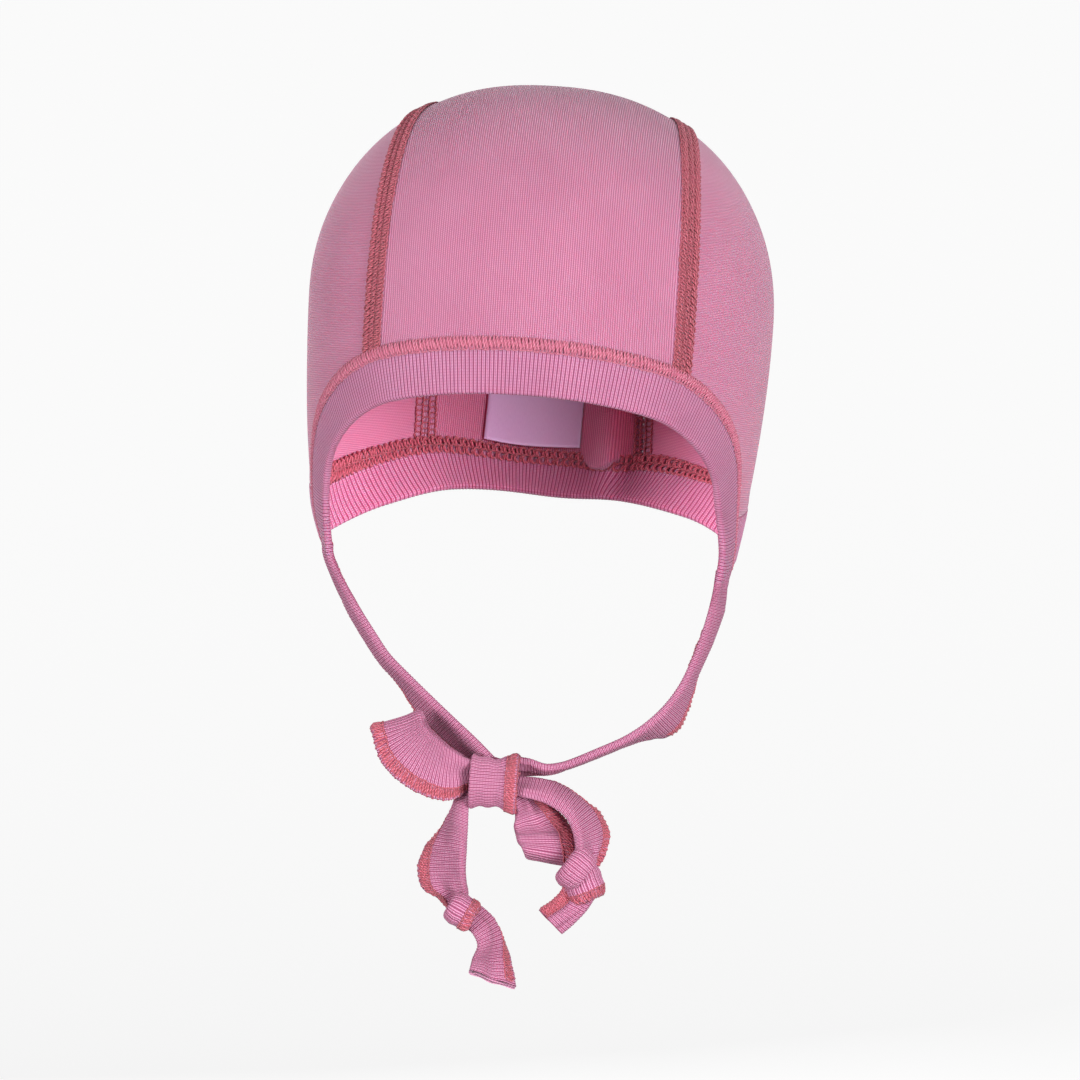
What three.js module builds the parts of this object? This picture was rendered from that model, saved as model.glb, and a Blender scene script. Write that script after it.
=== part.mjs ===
import * as THREE from 'three';

// A baby's helmet-shaped hat of fine jersey, bound with rib that is folded double. The rib round the
// face runs on below the ears as two ties, which meet under the chin in a bow.
// Millimetres, +Z up, the face opening looks towards -Y, and +X is the wearer's left.
// The origin is where the top of the head touches the crown.

// ---------------------------------------------------------------- driving dimensions

// The head form that carries the jersey's outer face: superellipses in plan, which draw in below the
// widest level and close over the crown above it.
const HEAD = {
  widestZ: -64,
  halfWidth: 67,
  front: 75,
  back: 79,
  crownHeight: 65.2,
  sideTaper: 0.00142,
  frontTaper: 0.0004,
  backTaper: 0.0085,
  planPower: 2.25,
  profilePower: 2.15,
};

const JERSEY_WALL = 1.2;
const RIB_WALL = 2.2;
const LABEL_WALL = 1.0;
const GAP = 0.3;

const FACE_BAND_WIDTH = 14;
const NECK_BAND_WIDTH = 16;
const STRAP_WIDTH = 15.5;

// The hat sits rolled a little on the head.
const TILT = { degrees: 4, centreZ: -80, shiftX: -0.6 };

// The two panel seams over the crown, as their distance from the middle plane: it swings from wide at
// the forehead to narrow at the nape with the cosine of the angle round the head.
const CROWN_SEAM = { middle: 36.1, swing: 7, rightFlare: 9 };

// The inward fold of the middle panel beside the nape, a soft vertical pleat. The cloth about it hangs
// lower by its drop.
const NAPE_FOLD = { x: 21, halfWidth: 5.5, depth: 9, topZ: -42, fullZ: -98, hemZ: -122, hemShare: 0.15 };
const NAPE_DROP = { x: 26, halfWidth: 17, depth: 2.6 };

// Seam between the panels and the face band, from the middle of the forehead to the end of the band.
const FACE_SEAM = [
  { x: 0, y: -75, z: -76.5 },
  { x: 25, y: -71, z: -78 },
  { x: 44, y: -61, z: -82.5 },
  { x: 55.5, y: -49, z: -91 },
  { x: 61.5, y: -37, z: -102 },
  { x: 62, y: -28, z: -115 },
  { x: 60, y: -23.5, z: -127 },
  { x: 58, y: -21, z: -137 },
];

// Seam between the panels and the neck band, from the middle of the nape to the face seam.
const EAR_CORNER_Z = -120;
const NECK_SEAM = [
  { x: 0, y: 66, z: -102.5 },
  { x: 32, y: 58, z: -103.5 },
  { x: 50, y: 38, z: -108 },
  { x: 60.5, y: 10, z: -114.5 },
  { x: 62, y: -8, z: -117.5 },
];

// The label hangs inside the nape, its lower edge just above the neck band's seam.
const LABEL = { fromX: -19, toX: 12, height: 34, aboveSeam: 1.6 };

// The neck band's crossings lean over to lie along the face seam over this share of it at each end.
const NECK_LEAN_SHARE = 0.12;

// The ties hang this far below the end of the face band.
const TIE_DROP = 4 * GAP;

// Straps below the cap. Each row is a crossing of the strap: its folded edge (all three coordinates),
// its stitched edge seen from the front, and how wide the gathered strap is there. The stitched edge
// lies behind the folded one by what is left of the width.
const TIE_LEFT = [
  { foldX: 50, foldY: -41, foldZ: -149, edgeX: 52, edgeZ: -149.5, width: STRAP_WIDTH },
  { foldX: 47.2, foldY: -46.5, foldZ: -158, edgeX: 48.8, edgeZ: -158, width: STRAP_WIDTH },
  { foldX: 44.4, foldY: -50, foldZ: -166, edgeX: 46.2, edgeZ: -166.6, width: STRAP_WIDTH },
  { foldX: 41.2, foldY: -52, foldZ: -172.2, edgeX: 44, edgeZ: -174.8, width: STRAP_WIDTH },
  { foldX: 35.5, foldY: -53.5, foldZ: -178.7, edgeX: 39, edgeZ: -183.4, width: STRAP_WIDTH },
  { foldX: 27.6, foldY: -53, foldZ: -184, edgeX: 29.6, edgeZ: -186.8, width: 15 },
  { foldX: 18.6, foldY: -53, foldZ: -188.4, edgeX: 19.2, edgeZ: -189.6, width: 14 },
  { foldX: 8.5, foldY: -54, foldZ: -192, edgeX: 8.5, edgeZ: -193, width: 11 },
  { foldX: -2.2, foldY: -54, foldZ: -193.6, edgeX: -2.2, edgeZ: -194.6, width: 8 },
];
const TIE_RIGHT = [
  { foldX: -50.6, foldY: -43, foldZ: -148, edgeX: -53.2, edgeZ: -148.5, width: STRAP_WIDTH },
  { foldX: -45.6, foldY: -47.5, foldZ: -156.4, edgeX: -48.2, edgeZ: -157.4, width: STRAP_WIDTH },
  { foldX: -40.6, foldY: -50, foldZ: -162, edgeX: -43.2, edgeZ: -163.8, width: STRAP_WIDTH },
  { foldX: -35, foldY: -51.5, foldZ: -167.6, edgeX: -38.4, edgeZ: -170.6, width: STRAP_WIDTH },
  { foldX: -29, foldY: -52, foldZ: -173.6, edgeX: -33.6, edgeZ: -178, width: STRAP_WIDTH },
  { foldX: -22.8, foldY: -51, foldZ: -179.4, edgeX: -28, edgeZ: -184.8, width: 14 },
  { foldX: -17.4, foldY: -51.5, foldZ: -184.8, edgeX: -20.4, edgeZ: -189.4, width: 10 },
];
const LOOP_RIGHT = [
  { foldX: -17.2, foldY: -58.5, foldZ: -190.5, edgeX: -17.2, edgeZ: -199.5, width: 9.5 },
  { foldX: -21.5, foldY: -59.5, foldZ: -188, edgeX: -22, edgeZ: -201, width: 13.5 },
  { foldX: -26, foldY: -60, foldZ: -184, edgeX: -31, edgeZ: -198, width: STRAP_WIDTH },
  { foldX: -28.2, foldY: -60, foldZ: -181.6, edgeX: -39, edgeZ: -191.6, width: STRAP_WIDTH },
  { foldX: -29, foldY: -60, foldZ: -179.8, edgeX: -43.2, edgeZ: -184.2, width: STRAP_WIDTH },
];
const LOOP_LEFT = [
  { foldX: -4, foldY: -52.5, foldZ: -207.2, edgeX: 2.5, edgeZ: -203.5, width: 7.5 },
  { foldX: -4.5, foldY: -51.5, foldZ: -209.5, edgeX: 7.5, edgeZ: -206, width: 12.5 },
  { foldX: -4, foldY: -51, foldZ: -212, edgeX: 11, edgeZ: -211, width: STRAP_WIDTH },
  { foldX: -3, foldY: -51, foldZ: -215, edgeX: 12, edgeZ: -215.5, width: STRAP_WIDTH },
  { foldX: -1, foldY: -51, foldZ: -217, edgeX: 13, edgeZ: -219.5, width: 15 },
];
const TAIL_RIGHT = [
  { foldX: -18.2, foldY: -57, foldZ: -203.4, edgeX: -20, edgeZ: -203, width: 7 },
  { foldX: -18, foldY: -58, foldZ: -210, edgeX: -25, edgeZ: -209, width: 11 },
  { foldX: -17.8, foldY: -58.5, foldZ: -216, edgeX: -30, edgeZ: -215.4, width: 14.5 },
  { foldX: -17.8, foldY: -58.5, foldZ: -221.5, edgeX: -32, edgeZ: -221.5, width: STRAP_WIDTH },
  { foldX: -17.6, foldY: -58, foldZ: -225, edgeX: -30.4, edgeZ: -226.4, width: 14 },
  { foldX: -17.2, foldY: -57.5, foldZ: -227, edgeX: -25.5, edgeZ: -228.6, width: 9.5 },
];
const TAIL_LEFT = [
  { foldX: -2.2, foldY: -60.5, foldZ: -200, edgeX: -2.2, edgeZ: -195, width: 7.5 },
  { foldX: 3.5, foldY: -62.5, foldZ: -202.6, edgeX: 6, edgeZ: -197.4, width: 12 },
  { foldX: 9, foldY: -64, foldZ: -206.4, edgeX: 13.2, edgeZ: -201.2, width: 14.5 },
  { foldX: 12, foldY: -63.5, foldZ: -210.6, edgeX: 18.6, edgeZ: -206, width: STRAP_WIDTH },
  { foldX: 13, foldY: -62, foldZ: -214.6, edgeX: 21, edgeZ: -212, width: 14 },
  { foldX: 12.5, foldY: -60, foldZ: -218.2, edgeX: 19.4, edgeZ: -218.2, width: 9 },
];
const TAIL_END_RIGHT = [
  { foldX: -16.2, foldY: -57.5, foldZ: -238.2, edgeX: -10.8, edgeZ: -235.4, width: 7.5 },
  { foldX: -14.8, foldY: -58, foldZ: -242, edgeX: -7.6, edgeZ: -240.5, width: 10 },
  { foldX: -16.2, foldY: -58.5, foldZ: -246, edgeX: -5.4, edgeZ: -246.5, width: 13.5 },
  { foldX: -16.7, foldY: -58.5, foldZ: -249.5, edgeX: -3.7, edgeZ: -254.5, width: STRAP_WIDTH },
];
const TAIL_END_LEFT = [
  { foldX: 15.8, foldY: -58, foldZ: -233.2, edgeX: 8.4, edgeZ: -229.2, width: 10 },
  { foldX: 12.4, foldY: -58.5, foldZ: -236.4, edgeX: 5.8, edgeZ: -231.4, width: 12 },
  { foldX: 9, foldY: -59, foldZ: -239, edgeX: 3, edgeZ: -233.6, width: 13 },
];

// How far behind its front layer the back layer of each bow loop lies.
const LOOP_DEPTH = 6;

// Knots, as rows across them: the centre of each crossing and its half sizes. A crossing is an ellipse
// drawn out a little towards its corners, by this power.
const KNOT_POWER = 0.8;
const BOW_KNOT = [
  { x: -16.6, y: -56, z: -196.3, halfDepth: 4.6, halfHeight: 7.2 },
  { x: -14.6, y: -56, z: -196.7, halfDepth: 6.3, halfHeight: 8.8 },
  { x: -10, y: -56, z: -197.4, halfDepth: 6.8, halfHeight: 8.9 },
  { x: -5.4, y: -56, z: -198.2, halfDepth: 6.4, halfHeight: 8.7 },
  { x: -2.8, y: -56, z: -198.8, halfDepth: 4.8, halfHeight: 7.6 },
];
const TAIL_KNOT_RIGHT = [
  { x: -22.8, y: -57, z: -230.9, halfDepth: 2.6, halfHeight: 1.9 },
  { x: -20.2, y: -57, z: -232.2, halfDepth: 4.8, halfHeight: 3.9 },
  { x: -16.6, y: -57, z: -232.6, halfDepth: 5.2, halfHeight: 4.2 },
  { x: -13.2, y: -57, z: -233.2, halfDepth: 4.4, halfHeight: 3.3 },
  { x: -11.6, y: -57, z: -233, halfDepth: 2.4, halfHeight: 1.8 },
];
const TAIL_KNOT_LEFT = [
  { x: 9.4, y: -57, z: -224.8, halfDepth: 2.6, halfHeight: 2.4 },
  { x: 11.6, y: -57, z: -225.2, halfDepth: 5, halfHeight: 5.4 },
  { x: 15.2, y: -57, z: -225.6, halfDepth: 5.6, halfHeight: 6.6 },
  { x: 18.8, y: -57, z: -226, halfDepth: 4.6, halfHeight: 5.2 },
  { x: 20.6, y: -57, z: -226.4, halfDepth: 2.4, halfHeight: 2.4 },
];

// Facets.
const CENTRE_COLUMNS = 24;
const CENTRE_ROWS = 26;
const SIDE_RINGS = 7;
const SIDE_STEPS = { crown: 20, neck: 11, face: 14 };
const FACE_BAND_STEPS = 56;
const NECK_SIDE_STEPS = 14;
const STRAP_STEPS = 20;
const LOOP_STEPS = 26;
const KNOT_SIDES = 14;

// ---------------------------------------------------------------- materials

function cloth(color, roughness) {
  return new THREE.MeshStandardMaterial({ color, roughness, metalness: 0 });
}

const JERSEY = () => cloth(0xc987a8, 0.9);
const RIB = () => cloth(0xbf7da2, 0.92);
const SATIN = () => cloth(0xd9b6d8, 0.5);

// ---------------------------------------------------------------- the head form

const CENTRE = new THREE.Vector3(0, 0, HEAD.widestZ);

// 1 on the jersey's outer face, less inside it and more outside.
function headValue(point) {
  const below = Math.max(0, HEAD.widestZ - point.z);
  const above = Math.max(0, point.z - HEAD.widestZ);
  const side = HEAD.halfWidth - HEAD.sideTaper * below ** 2;
  const front = HEAD.front - HEAD.frontTaper * below ** 2;
  const back = HEAD.back - HEAD.backTaper * below ** 2;
  const depth = point.y < 0 ? front : back;
  const plan = (Math.abs(point.x) / side) ** HEAD.planPower + (Math.abs(point.y) / depth) ** HEAD.planPower;
  const reach = plan ** (HEAD.profilePower / HEAD.planPower);
  return (reach + (above / HEAD.crownHeight) ** HEAD.profilePower) ** (1 / HEAD.profilePower);
}

// The first place where a ray from start meets the head form.
function hitHead(start, direction) {
  const point = new THREE.Vector3();
  let near = 0;
  let far = 130;
  for (let step = 0; step < 40; step += 1) {
    const middle = (near + far) / 2;
    point.copy(start).addScaledVector(direction, middle);
    if (headValue(point) < 1) near = middle;
    else far = middle;
  }
  return point;
}

function onHead(point) {
  return hitHead(CENTRE, point.clone().sub(CENTRE).normalize());
}

// The head's point at x, seen at an angle round the cross axis: 0 looks forward, PI / 2 up, PI back.
function atAngle(x, angle) {
  const direction = new THREE.Vector3(0, -Math.cos(angle), Math.sin(angle));
  return hitHead(new THREE.Vector3(x, 0, HEAD.widestZ), direction);
}

function angleOf(point) {
  const angle = Math.atan2(point.z - HEAD.widestZ, -point.y);
  return angle < -Math.PI / 2 ? angle + 2 * Math.PI : angle;
}

function smooth(value) {
  const t = Math.min(1, Math.max(0, value));
  return t * t * (3 - 2 * t);
}

// How far the nape fold pulls the cloth forward.
function foldDepth(point) {
  if (point.y < 0) return 0;
  const grow = smooth((NAPE_FOLD.topZ - point.z) / (NAPE_FOLD.topZ - NAPE_FOLD.fullZ));
  const fade = smooth((NAPE_FOLD.fullZ - point.z) / (NAPE_FOLD.fullZ - NAPE_FOLD.hemZ));
  const across = Math.exp(-(((point.x - NAPE_FOLD.x) / NAPE_FOLD.halfWidth) ** 2));
  return NAPE_FOLD.depth * grow * (1 - (1 - NAPE_FOLD.hemShare) * fade) * across;
}

function foldedValue(point) {
  const flat = point.clone();
  flat.y += foldDepth(point);
  return headValue(flat);
}

function outwardNormal(point) {
  const reach = 0.05;
  const slope = (axis) => {
    const ahead = point.clone();
    const behind = point.clone();
    ahead[axis] += reach;
    behind[axis] -= reach;
    return foldedValue(ahead) - foldedValue(behind);
  };
  return new THREE.Vector3(slope('x'), slope('y'), slope('z')).normalize();
}

function tilted(point) {
  const turned = point.clone();
  turned.z -= TILT.centreZ;
  turned.applyAxisAngle(new THREE.Vector3(0, 1, 0), THREE.MathUtils.degToRad(TILT.degrees));
  turned.z += TILT.centreZ;
  turned.x += TILT.shiftX;
  return turned;
}

function napeDrop(point) {
  if (point.y < 0) return 0;
  const across = Math.exp(-(((point.x - NAPE_DROP.x) / NAPE_DROP.halfWidth) ** 2));
  return NAPE_DROP.depth * across * smooth((NAPE_FOLD.topZ - point.z) / (NAPE_FOLD.topZ - NAPE_FOLD.fullZ));
}

// A point of the head form as worn: folded, lifted off the form, and rolled with the hat.
function worn(point, lift) {
  const folded = point.clone();
  folded.y -= foldDepth(point);
  folded.addScaledVector(outwardNormal(folded), lift);
  folded.z -= napeDrop(point);
  return tilted(folded);
}

// ---------------------------------------------------------------- seams on the head

function mirrored(row) {
  return new THREE.Vector3(-row.x, row.y, row.z);
}

function seamThrough(rows) {
  const right = rows.slice(1).reverse().map(mirrored);
  const left = rows.map((row) => new THREE.Vector3(row.x, row.y, row.z));
  const curve = new THREE.CatmullRomCurve3([...right, ...left], false, 'centripetal');
  curve.arcLengthDivisions = 800;
  return curve;
}

// Where along a seam, from its middle (0.5) to its +X end (1), a test first turns positive.
function findAlong(curve, test) {
  let low = 0.5;
  let high = 1;
  for (let step = 0; step < 40; step += 1) {
    const middle = (low + high) / 2;
    if (test(onHead(curve.getPointAt(middle))) < 0) low = middle;
    else high = middle;
  }
  return low;
}

// How far from the middle a crown seam lies, at an angle round the head. wearerSide is 1 for the left
// seam and -1 for the right one. The hat is worn a little turned, so behind the crown the right seam
// keeps further out than the left.
function crownSeamX(angle, wearerSide) {
  const behind = Math.max(0, -Math.cos(angle));
  const flare = wearerSide < 0 ? CROWN_SEAM.rightFlare * behind ** 2 : 0;
  return CROWN_SEAM.middle + CROWN_SEAM.swing * Math.cos(angle) + flare;
}

const faceSeam = seamThrough(FACE_SEAM);
const earCorner = findAlong(faceSeam, (point) => EAR_CORNER_Z - point.z);
const neckSeam = seamThrough([...NECK_SEAM, onHead(faceSeam.getPointAt(earCorner))]);
const faceCrossing = findAlong(faceSeam, (point) => point.x - crownSeamX(angleOf(point), 1));
const faceEdge = onHead(faceSeam.getPointAt(faceCrossing));

// Where a crown seam ends on the neck seam, as on the left half: the neck seam is the same both sides.
function neckEnd(wearerSide) {
  const place = findAlong(neckSeam, (point) => point.x - crownSeamX(angleOf(point), wearerSide));
  return { place, edge: onHead(neckSeam.getPointAt(place)) };
}

const neckEnds = { 1: neckEnd(1), [-1]: neckEnd(-1) };

function seamAngleAt(curve, x) {
  const place = findAlong(curve, (point) => point.x - Math.abs(x));
  return angleOf(onHead(curve.getPointAt(place)));
}

// A point beside a seam, measured along the head form, on the side that turn (1 or -1) picks.
function besideSeam(curve, place, across, turn, endDirection, endShare) {
  const step = 0.002;
  const point = onHead(curve.getPointAt(place));
  const ahead = onHead(curve.getPointAt(Math.min(1, place + step)));
  const behind = onHead(curve.getPointAt(Math.max(0, place - step)));
  const along = ahead.sub(behind).normalize();
  const outward = outwardNormal(point);
  const side = along.cross(outward).multiplyScalar(turn).normalize();
  if (endDirection) side.lerp(endDirection, endShare).normalize();
  return onHead(point.addScaledVector(side, across));
}

// ---------------------------------------------------------------- closed meshes

function signedVolume(positions, triangles) {
  let volume = 0;
  for (const [a, b, c] of triangles) {
    volume += positions[a].dot(positions[b].clone().cross(positions[c]));
  }
  return volume / 6;
}

function closedGeometry(positions, triangles) {
  const outwards = signedVolume(positions, triangles) > 0;
  const faces = triangles.map(([a, b, c]) => (outwards ? [a, b, c] : [a, c, b]));
  const geometry = new THREE.BufferGeometry().setFromPoints(positions);
  geometry.setIndex(faces.flat());
  geometry.computeVertexNormals();
  return geometry;
}

function quad(a, b, c, d) {
  return [[a, b, c], [a, c, d]];
}

// A wall between an outer and an inner sheet of points, both rows x columns.
function walledSheet(outer, inner) {
  const rows = outer.length;
  const columns = outer[0].length;
  const positions = [...outer.flat(), ...inner.flat()];
  const at = (row, column, layer) => layer * rows * columns + row * columns + column;
  const triangles = [];
  for (let row = 0; row + 1 < rows; row += 1) {
    for (let column = 0; column + 1 < columns; column += 1) {
      const ring = [[row, column], [row, column + 1], [row + 1, column + 1], [row + 1, column]];
      triangles.push(...quad(...ring.map(([r, c]) => at(r, c, 0))));
      triangles.push(...quad(...ring.reverse().map(([r, c]) => at(r, c, 1))));
    }
  }
  const rim = [];
  for (let column = 0; column + 1 < columns; column += 1) rim.push([0, column]);
  for (let row = 0; row + 1 < rows; row += 1) rim.push([row, columns - 1]);
  for (let column = columns - 1; column > 0; column -= 1) rim.push([rows - 1, column]);
  for (let row = rows - 1; row > 0; row -= 1) rim.push([row, 0]);
  rim.forEach(([row, column], index) => {
    const [nextRow, nextColumn] = rim[(index + 1) % rim.length];
    const wall = [at(nextRow, nextColumn, 0), at(row, column, 0), at(row, column, 1)];
    triangles.push(...quad(...wall, at(nextRow, nextColumn, 1)));
  });
  return closedGeometry(positions, triangles);
}

// A wall between two round sheets: each is a hub point and rings of points about it.
function walledDisc(outer, inner) {
  const sides = outer.rings[0].length;
  const ringCount = outer.rings.length;
  const layerSize = 1 + ringCount * sides;
  const positions = [outer.hub, ...outer.rings.flat(), inner.hub, ...inner.rings.flat()];
  const at = (ring, side, layer) => layer * layerSize + 1 + ring * sides + (side % sides);
  const triangles = [];
  for (let side = 0; side < sides; side += 1) {
    triangles.push([0, at(0, side, 0), at(0, side + 1, 0)]);
    triangles.push([layerSize, at(0, side + 1, 1), at(0, side, 1)]);
    for (let ring = 0; ring + 1 < ringCount; ring += 1) {
      const next = ring + 1;
      const corners = [[ring, side], [next, side], [next, side + 1], [ring, side + 1]];
      triangles.push(...quad(...corners.map(([r, c]) => at(r, c, 0))));
      triangles.push(...quad(...corners.reverse().map(([r, c]) => at(r, c, 1))));
    }
    const last = ringCount - 1;
    const rim = [[side + 1, 0], [side, 0], [side, 1], [side + 1, 1]];
    triangles.push(...quad(...rim.map(([s, layer]) => at(last, s, layer))));
  }
  return closedGeometry(positions, triangles);
}

// A solid through a row of closed outlines, each with the same number of points.
function loft(outlines) {
  const sides = outlines[0].length;
  const positions = outlines.flat();
  const triangles = [];
  for (let section = 0; section + 1 < outlines.length; section += 1) {
    for (let side = 0; side < sides; side += 1) {
      const near = section * sides;
      const far = near + sides;
      const next = (side + 1) % sides;
      triangles.push(...quad(near + side, far + side, far + next, near + next));
    }
  }
  const cap = (first, flip) => {
    const middle = positions.length;
    const ring = positions.slice(first, first + sides);
    const sum = ring.reduce((total, point) => total.add(point), new THREE.Vector3());
    positions.push(sum.divideScalar(sides));
    for (let side = 0; side < sides; side += 1) {
      const next = (side + 1) % sides;
      const pair = flip ? [first + side, first + next] : [first + next, first + side];
      triangles.push([middle, ...pair]);
    }
  };
  cap(0, true);
  cap((outlines.length - 1) * sides, false);
  return closedGeometry(positions, triangles);
}

// ---------------------------------------------------------------- the jersey panels

function steps(count) {
  return Array.from({ length: count + 1 }, (_, index) => index / count);
}

function crownCentrePanel() {
  const inset = GAP / 2;
  const angleInset = inset / HEAD.front;
  const sheet = steps(CENTRE_ROWS).map((along) => steps(CENTRE_COLUMNS).map((step) => {
    const share = (2 * step - 1) * (1 - inset / CROWN_SEAM.middle);
    const wearerSide = share < 0 ? -1 : 1;
    const from = seamAngleAt(faceSeam, share * faceEdge.x) + angleInset;
    const to = seamAngleAt(neckSeam, share * neckEnds[wearerSide].edge.x) - angleInset;
    const angle = from + (to - from) * along;
    return atAngle(share * crownSeamX(angle, wearerSide), angle);
  }));
  const outer = sheet.map((row) => row.map((point) => worn(point, 0)));
  const inner = sheet.map((row) => row.map((point) => worn(point, -JERSEY_WALL)));
  return walledSheet(outer, inner);
}

// The outline of a side panel, all the way round, as points on the left half of the head form.
function sidePanelOutline(wearerSide) {
  const { place: neckCrossing, edge: neckEdge } = neckEnds[wearerSide];
  const from = angleOf(faceEdge);
  const to = angleOf(neckEdge);
  const crown = steps(SIDE_STEPS.crown).slice(1).map((step) => {
    const angle = from + (to - from) * step;
    return atAngle(crownSeamX(angle, wearerSide), angle);
  });
  const neck = steps(SIDE_STEPS.neck).slice(1).map((step) => (
    onHead(neckSeam.getPointAt(neckCrossing + (1 - neckCrossing) * step))
  ));
  const face = steps(SIDE_STEPS.face).slice(1).map((step) => (
    onHead(faceSeam.getPointAt(earCorner + (faceCrossing - earCorner) * step))
  ));
  return [...crown, ...neck, ...face];
}

// wearerSide is 1 for the left panel and -1 for the right. Facets cut across a curved edge, so the
// panel stands back by more than half the gap.
function sidePanel(wearerSide) {
  const inset = 0.7 * GAP;
  const hub = new THREE.Vector3(1, 0, 0);
  const outline = sidePanelOutline(wearerSide);
  const rings = steps(SIDE_RINGS).slice(1).map((share) => outline.map((edge) => {
    const direction = edge.clone().sub(CENTRE);
    const angle = hub.angleTo(direction);
    const reach = share * (angle - inset / direction.length());
    const axis = hub.clone().cross(direction).normalize();
    return hitHead(CENTRE, hub.clone().applyAxisAngle(axis, reach));
  }));
  const sideways = (point) => new THREE.Vector3(point.x * wearerSide, point.y, point.z);
  const layer = (lift) => ({
    hub: worn(sideways(hitHead(CENTRE, hub)), lift),
    rings: rings.map((ring) => ring.map((point) => worn(sideways(point), lift))),
  });
  return walledDisc(layer(0), layer(-JERSEY_WALL));
}

// ---------------------------------------------------------------- the rib bands

const RIB_OUTER = (RIB_WALL - JERSEY_WALL) / 2;

// The section of a folded band: how far across it each corner is, and how deep in its wall (0 outside
// to 1 inside). The far side is the rounded fold.
function bandSection(width) {
  const round = RIB_WALL / 2;
  return [
    { across: GAP / 2, depth: 1 },
    { across: GAP / 2, depth: 0 },
    { across: width - round, depth: 0 },
    { across: width - round * 0.3, depth: 0.2 },
    { across: width, depth: 0.5 },
    { across: width - round * 0.3, depth: 0.8 },
    { across: width - round, depth: 1 },
  ];
}

function faceBand() {
  const outlines = steps(FACE_BAND_STEPS).map((place) => bandSection(FACE_BAND_WIDTH).map((corner) => (
    worn(besideSeam(faceSeam, place, corner.across, 1), RIB_OUTER - corner.depth * RIB_WALL)
  )));
  return loft(outlines);
}

// Places along the neck seam: as close as the middle panel's columns between the crown seams, where
// the nape fold is, and wider apart from there to the ends.
function neckBandPlaces() {
  const end = 1 - GAP / neckSeam.getLength();
  const half = ({ place: crossing, edge }) => {
    const middle = steps(CENTRE_COLUMNS / 2).slice(1, -1).map((share) => (
      findAlong(neckSeam, (point) => point.x - share * edge.x)
    ));
    const beside = steps(NECK_SIDE_STEPS).map((step) => crossing + (end - crossing) * step);
    return [...middle, ...beside];
  };
  const right = half(neckEnds[-1]).map((place) => 1 - place).reverse();
  return [...right, 0.5, ...half(neckEnds[1])];
}

// The neck band's ends lie along the face seam, so its crossings lean over towards that seam there.
function neckBand() {
  const bandEnd = onHead(faceSeam.getPointAt(1));
  const corner = onHead(faceSeam.getPointAt(earCorner));
  const outlines = neckBandPlaces().map((place) => {
    const fromEnd = Math.min(place, 1 - place);
    const endShare = 1 - smooth(fromEnd / NECK_LEAN_SHARE);
    const lean = bandEnd.clone().sub(corner).normalize();
    if (place < 0.5) lean.x *= -1;
    return bandSection(NECK_BAND_WIDTH).map((section) => {
      const point = besideSeam(neckSeam, place, section.across, -1, lean, endShare);
      return worn(point, RIB_OUTER - section.depth * RIB_WALL);
    });
  });
  return loft(outlines);
}

function neckLabel() {
  const seamAngle = seamAngleAt(neckSeam, 0) - LABEL.aboveSeam / HEAD.back;
  const topAngle = seamAngle - LABEL.height / HEAD.back;
  const sheet = steps(6).map((along) => steps(6).map((step) => (
    atAngle(LABEL.fromX + (LABEL.toX - LABEL.fromX) * step, topAngle + (seamAngle - topAngle) * along)
  )));
  const near = JERSEY_WALL + 2 * GAP;
  const outer = sheet.map((row) => row.map((point) => worn(point, -near)));
  const inner = sheet.map((row) => row.map((point) => worn(point, -near - LABEL_WALL)));
  return walledSheet(outer, inner);
}

// ---------------------------------------------------------------- straps and knots

function crossingOf(row) {
  const inView = (row.edgeX - row.foldX) ** 2 + (row.edgeZ - row.foldZ) ** 2;
  const back = Math.sqrt(Math.max(0, row.width ** 2 - inView));
  return {
    fold: new THREE.Vector3(row.foldX, row.foldY, row.foldZ),
    edge: new THREE.Vector3(row.edgeX, row.foldY + back, row.edgeZ),
  };
}

// A folded strap through a row of crossings. Its section is half the wall thick on either side of the
// middle, and rounds off towards the fold.
function strap(crossings, count) {
  const through = (points) => new THREE.CatmullRomCurve3(points, false, 'centripetal');
  const folds = through(crossings.map((crossing) => crossing.fold));
  const edges = through(crossings.map((crossing) => crossing.edge));
  const middle = (t) => folds.getPoint(t).add(edges.getPoint(t)).multiplyScalar(0.5);
  const half = RIB_WALL / 2;
  const outlines = steps(count).map((t) => {
    const fold = folds.getPoint(t);
    const across = edges.getPoint(t).sub(fold);
    const width = across.length();
    across.normalize();
    const along = middle(Math.min(1, t + 0.01)).sub(middle(Math.max(0, t - 0.01)));
    const face = along.cross(across).normalize();
    const corners = [
      { out: 0, up: 0 },
      { out: half * 0.5, up: half * 0.85 },
      { out: half * 1.4, up: half },
      { out: width, up: half },
      { out: width, up: -half },
      { out: half * 1.4, up: -half },
      { out: half * 0.5, up: -half * 0.85 },
    ];
    return corners.map((corner) => (
      fold.clone().addScaledVector(across, corner.out).addScaledVector(face, corner.up)
    ));
  });
  return loft(outlines);
}

// A tie starts where the face band ends, and goes on through its own crossings.
function tie(rows, wearerSide) {
  const place = wearerSide > 0 ? 1 : 0;
  const lift = RIB_OUTER - RIB_WALL / 2;
  const start = {
    fold: worn(besideSeam(faceSeam, place, FACE_BAND_WIDTH, 1), lift),
    edge: worn(besideSeam(faceSeam, place, 0, 1), lift),
  };
  start.fold.z -= TIE_DROP;
  start.edge.z -= TIE_DROP;
  return strap([start, ...rows.map(crossingOf)], STRAP_STEPS);
}

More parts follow.
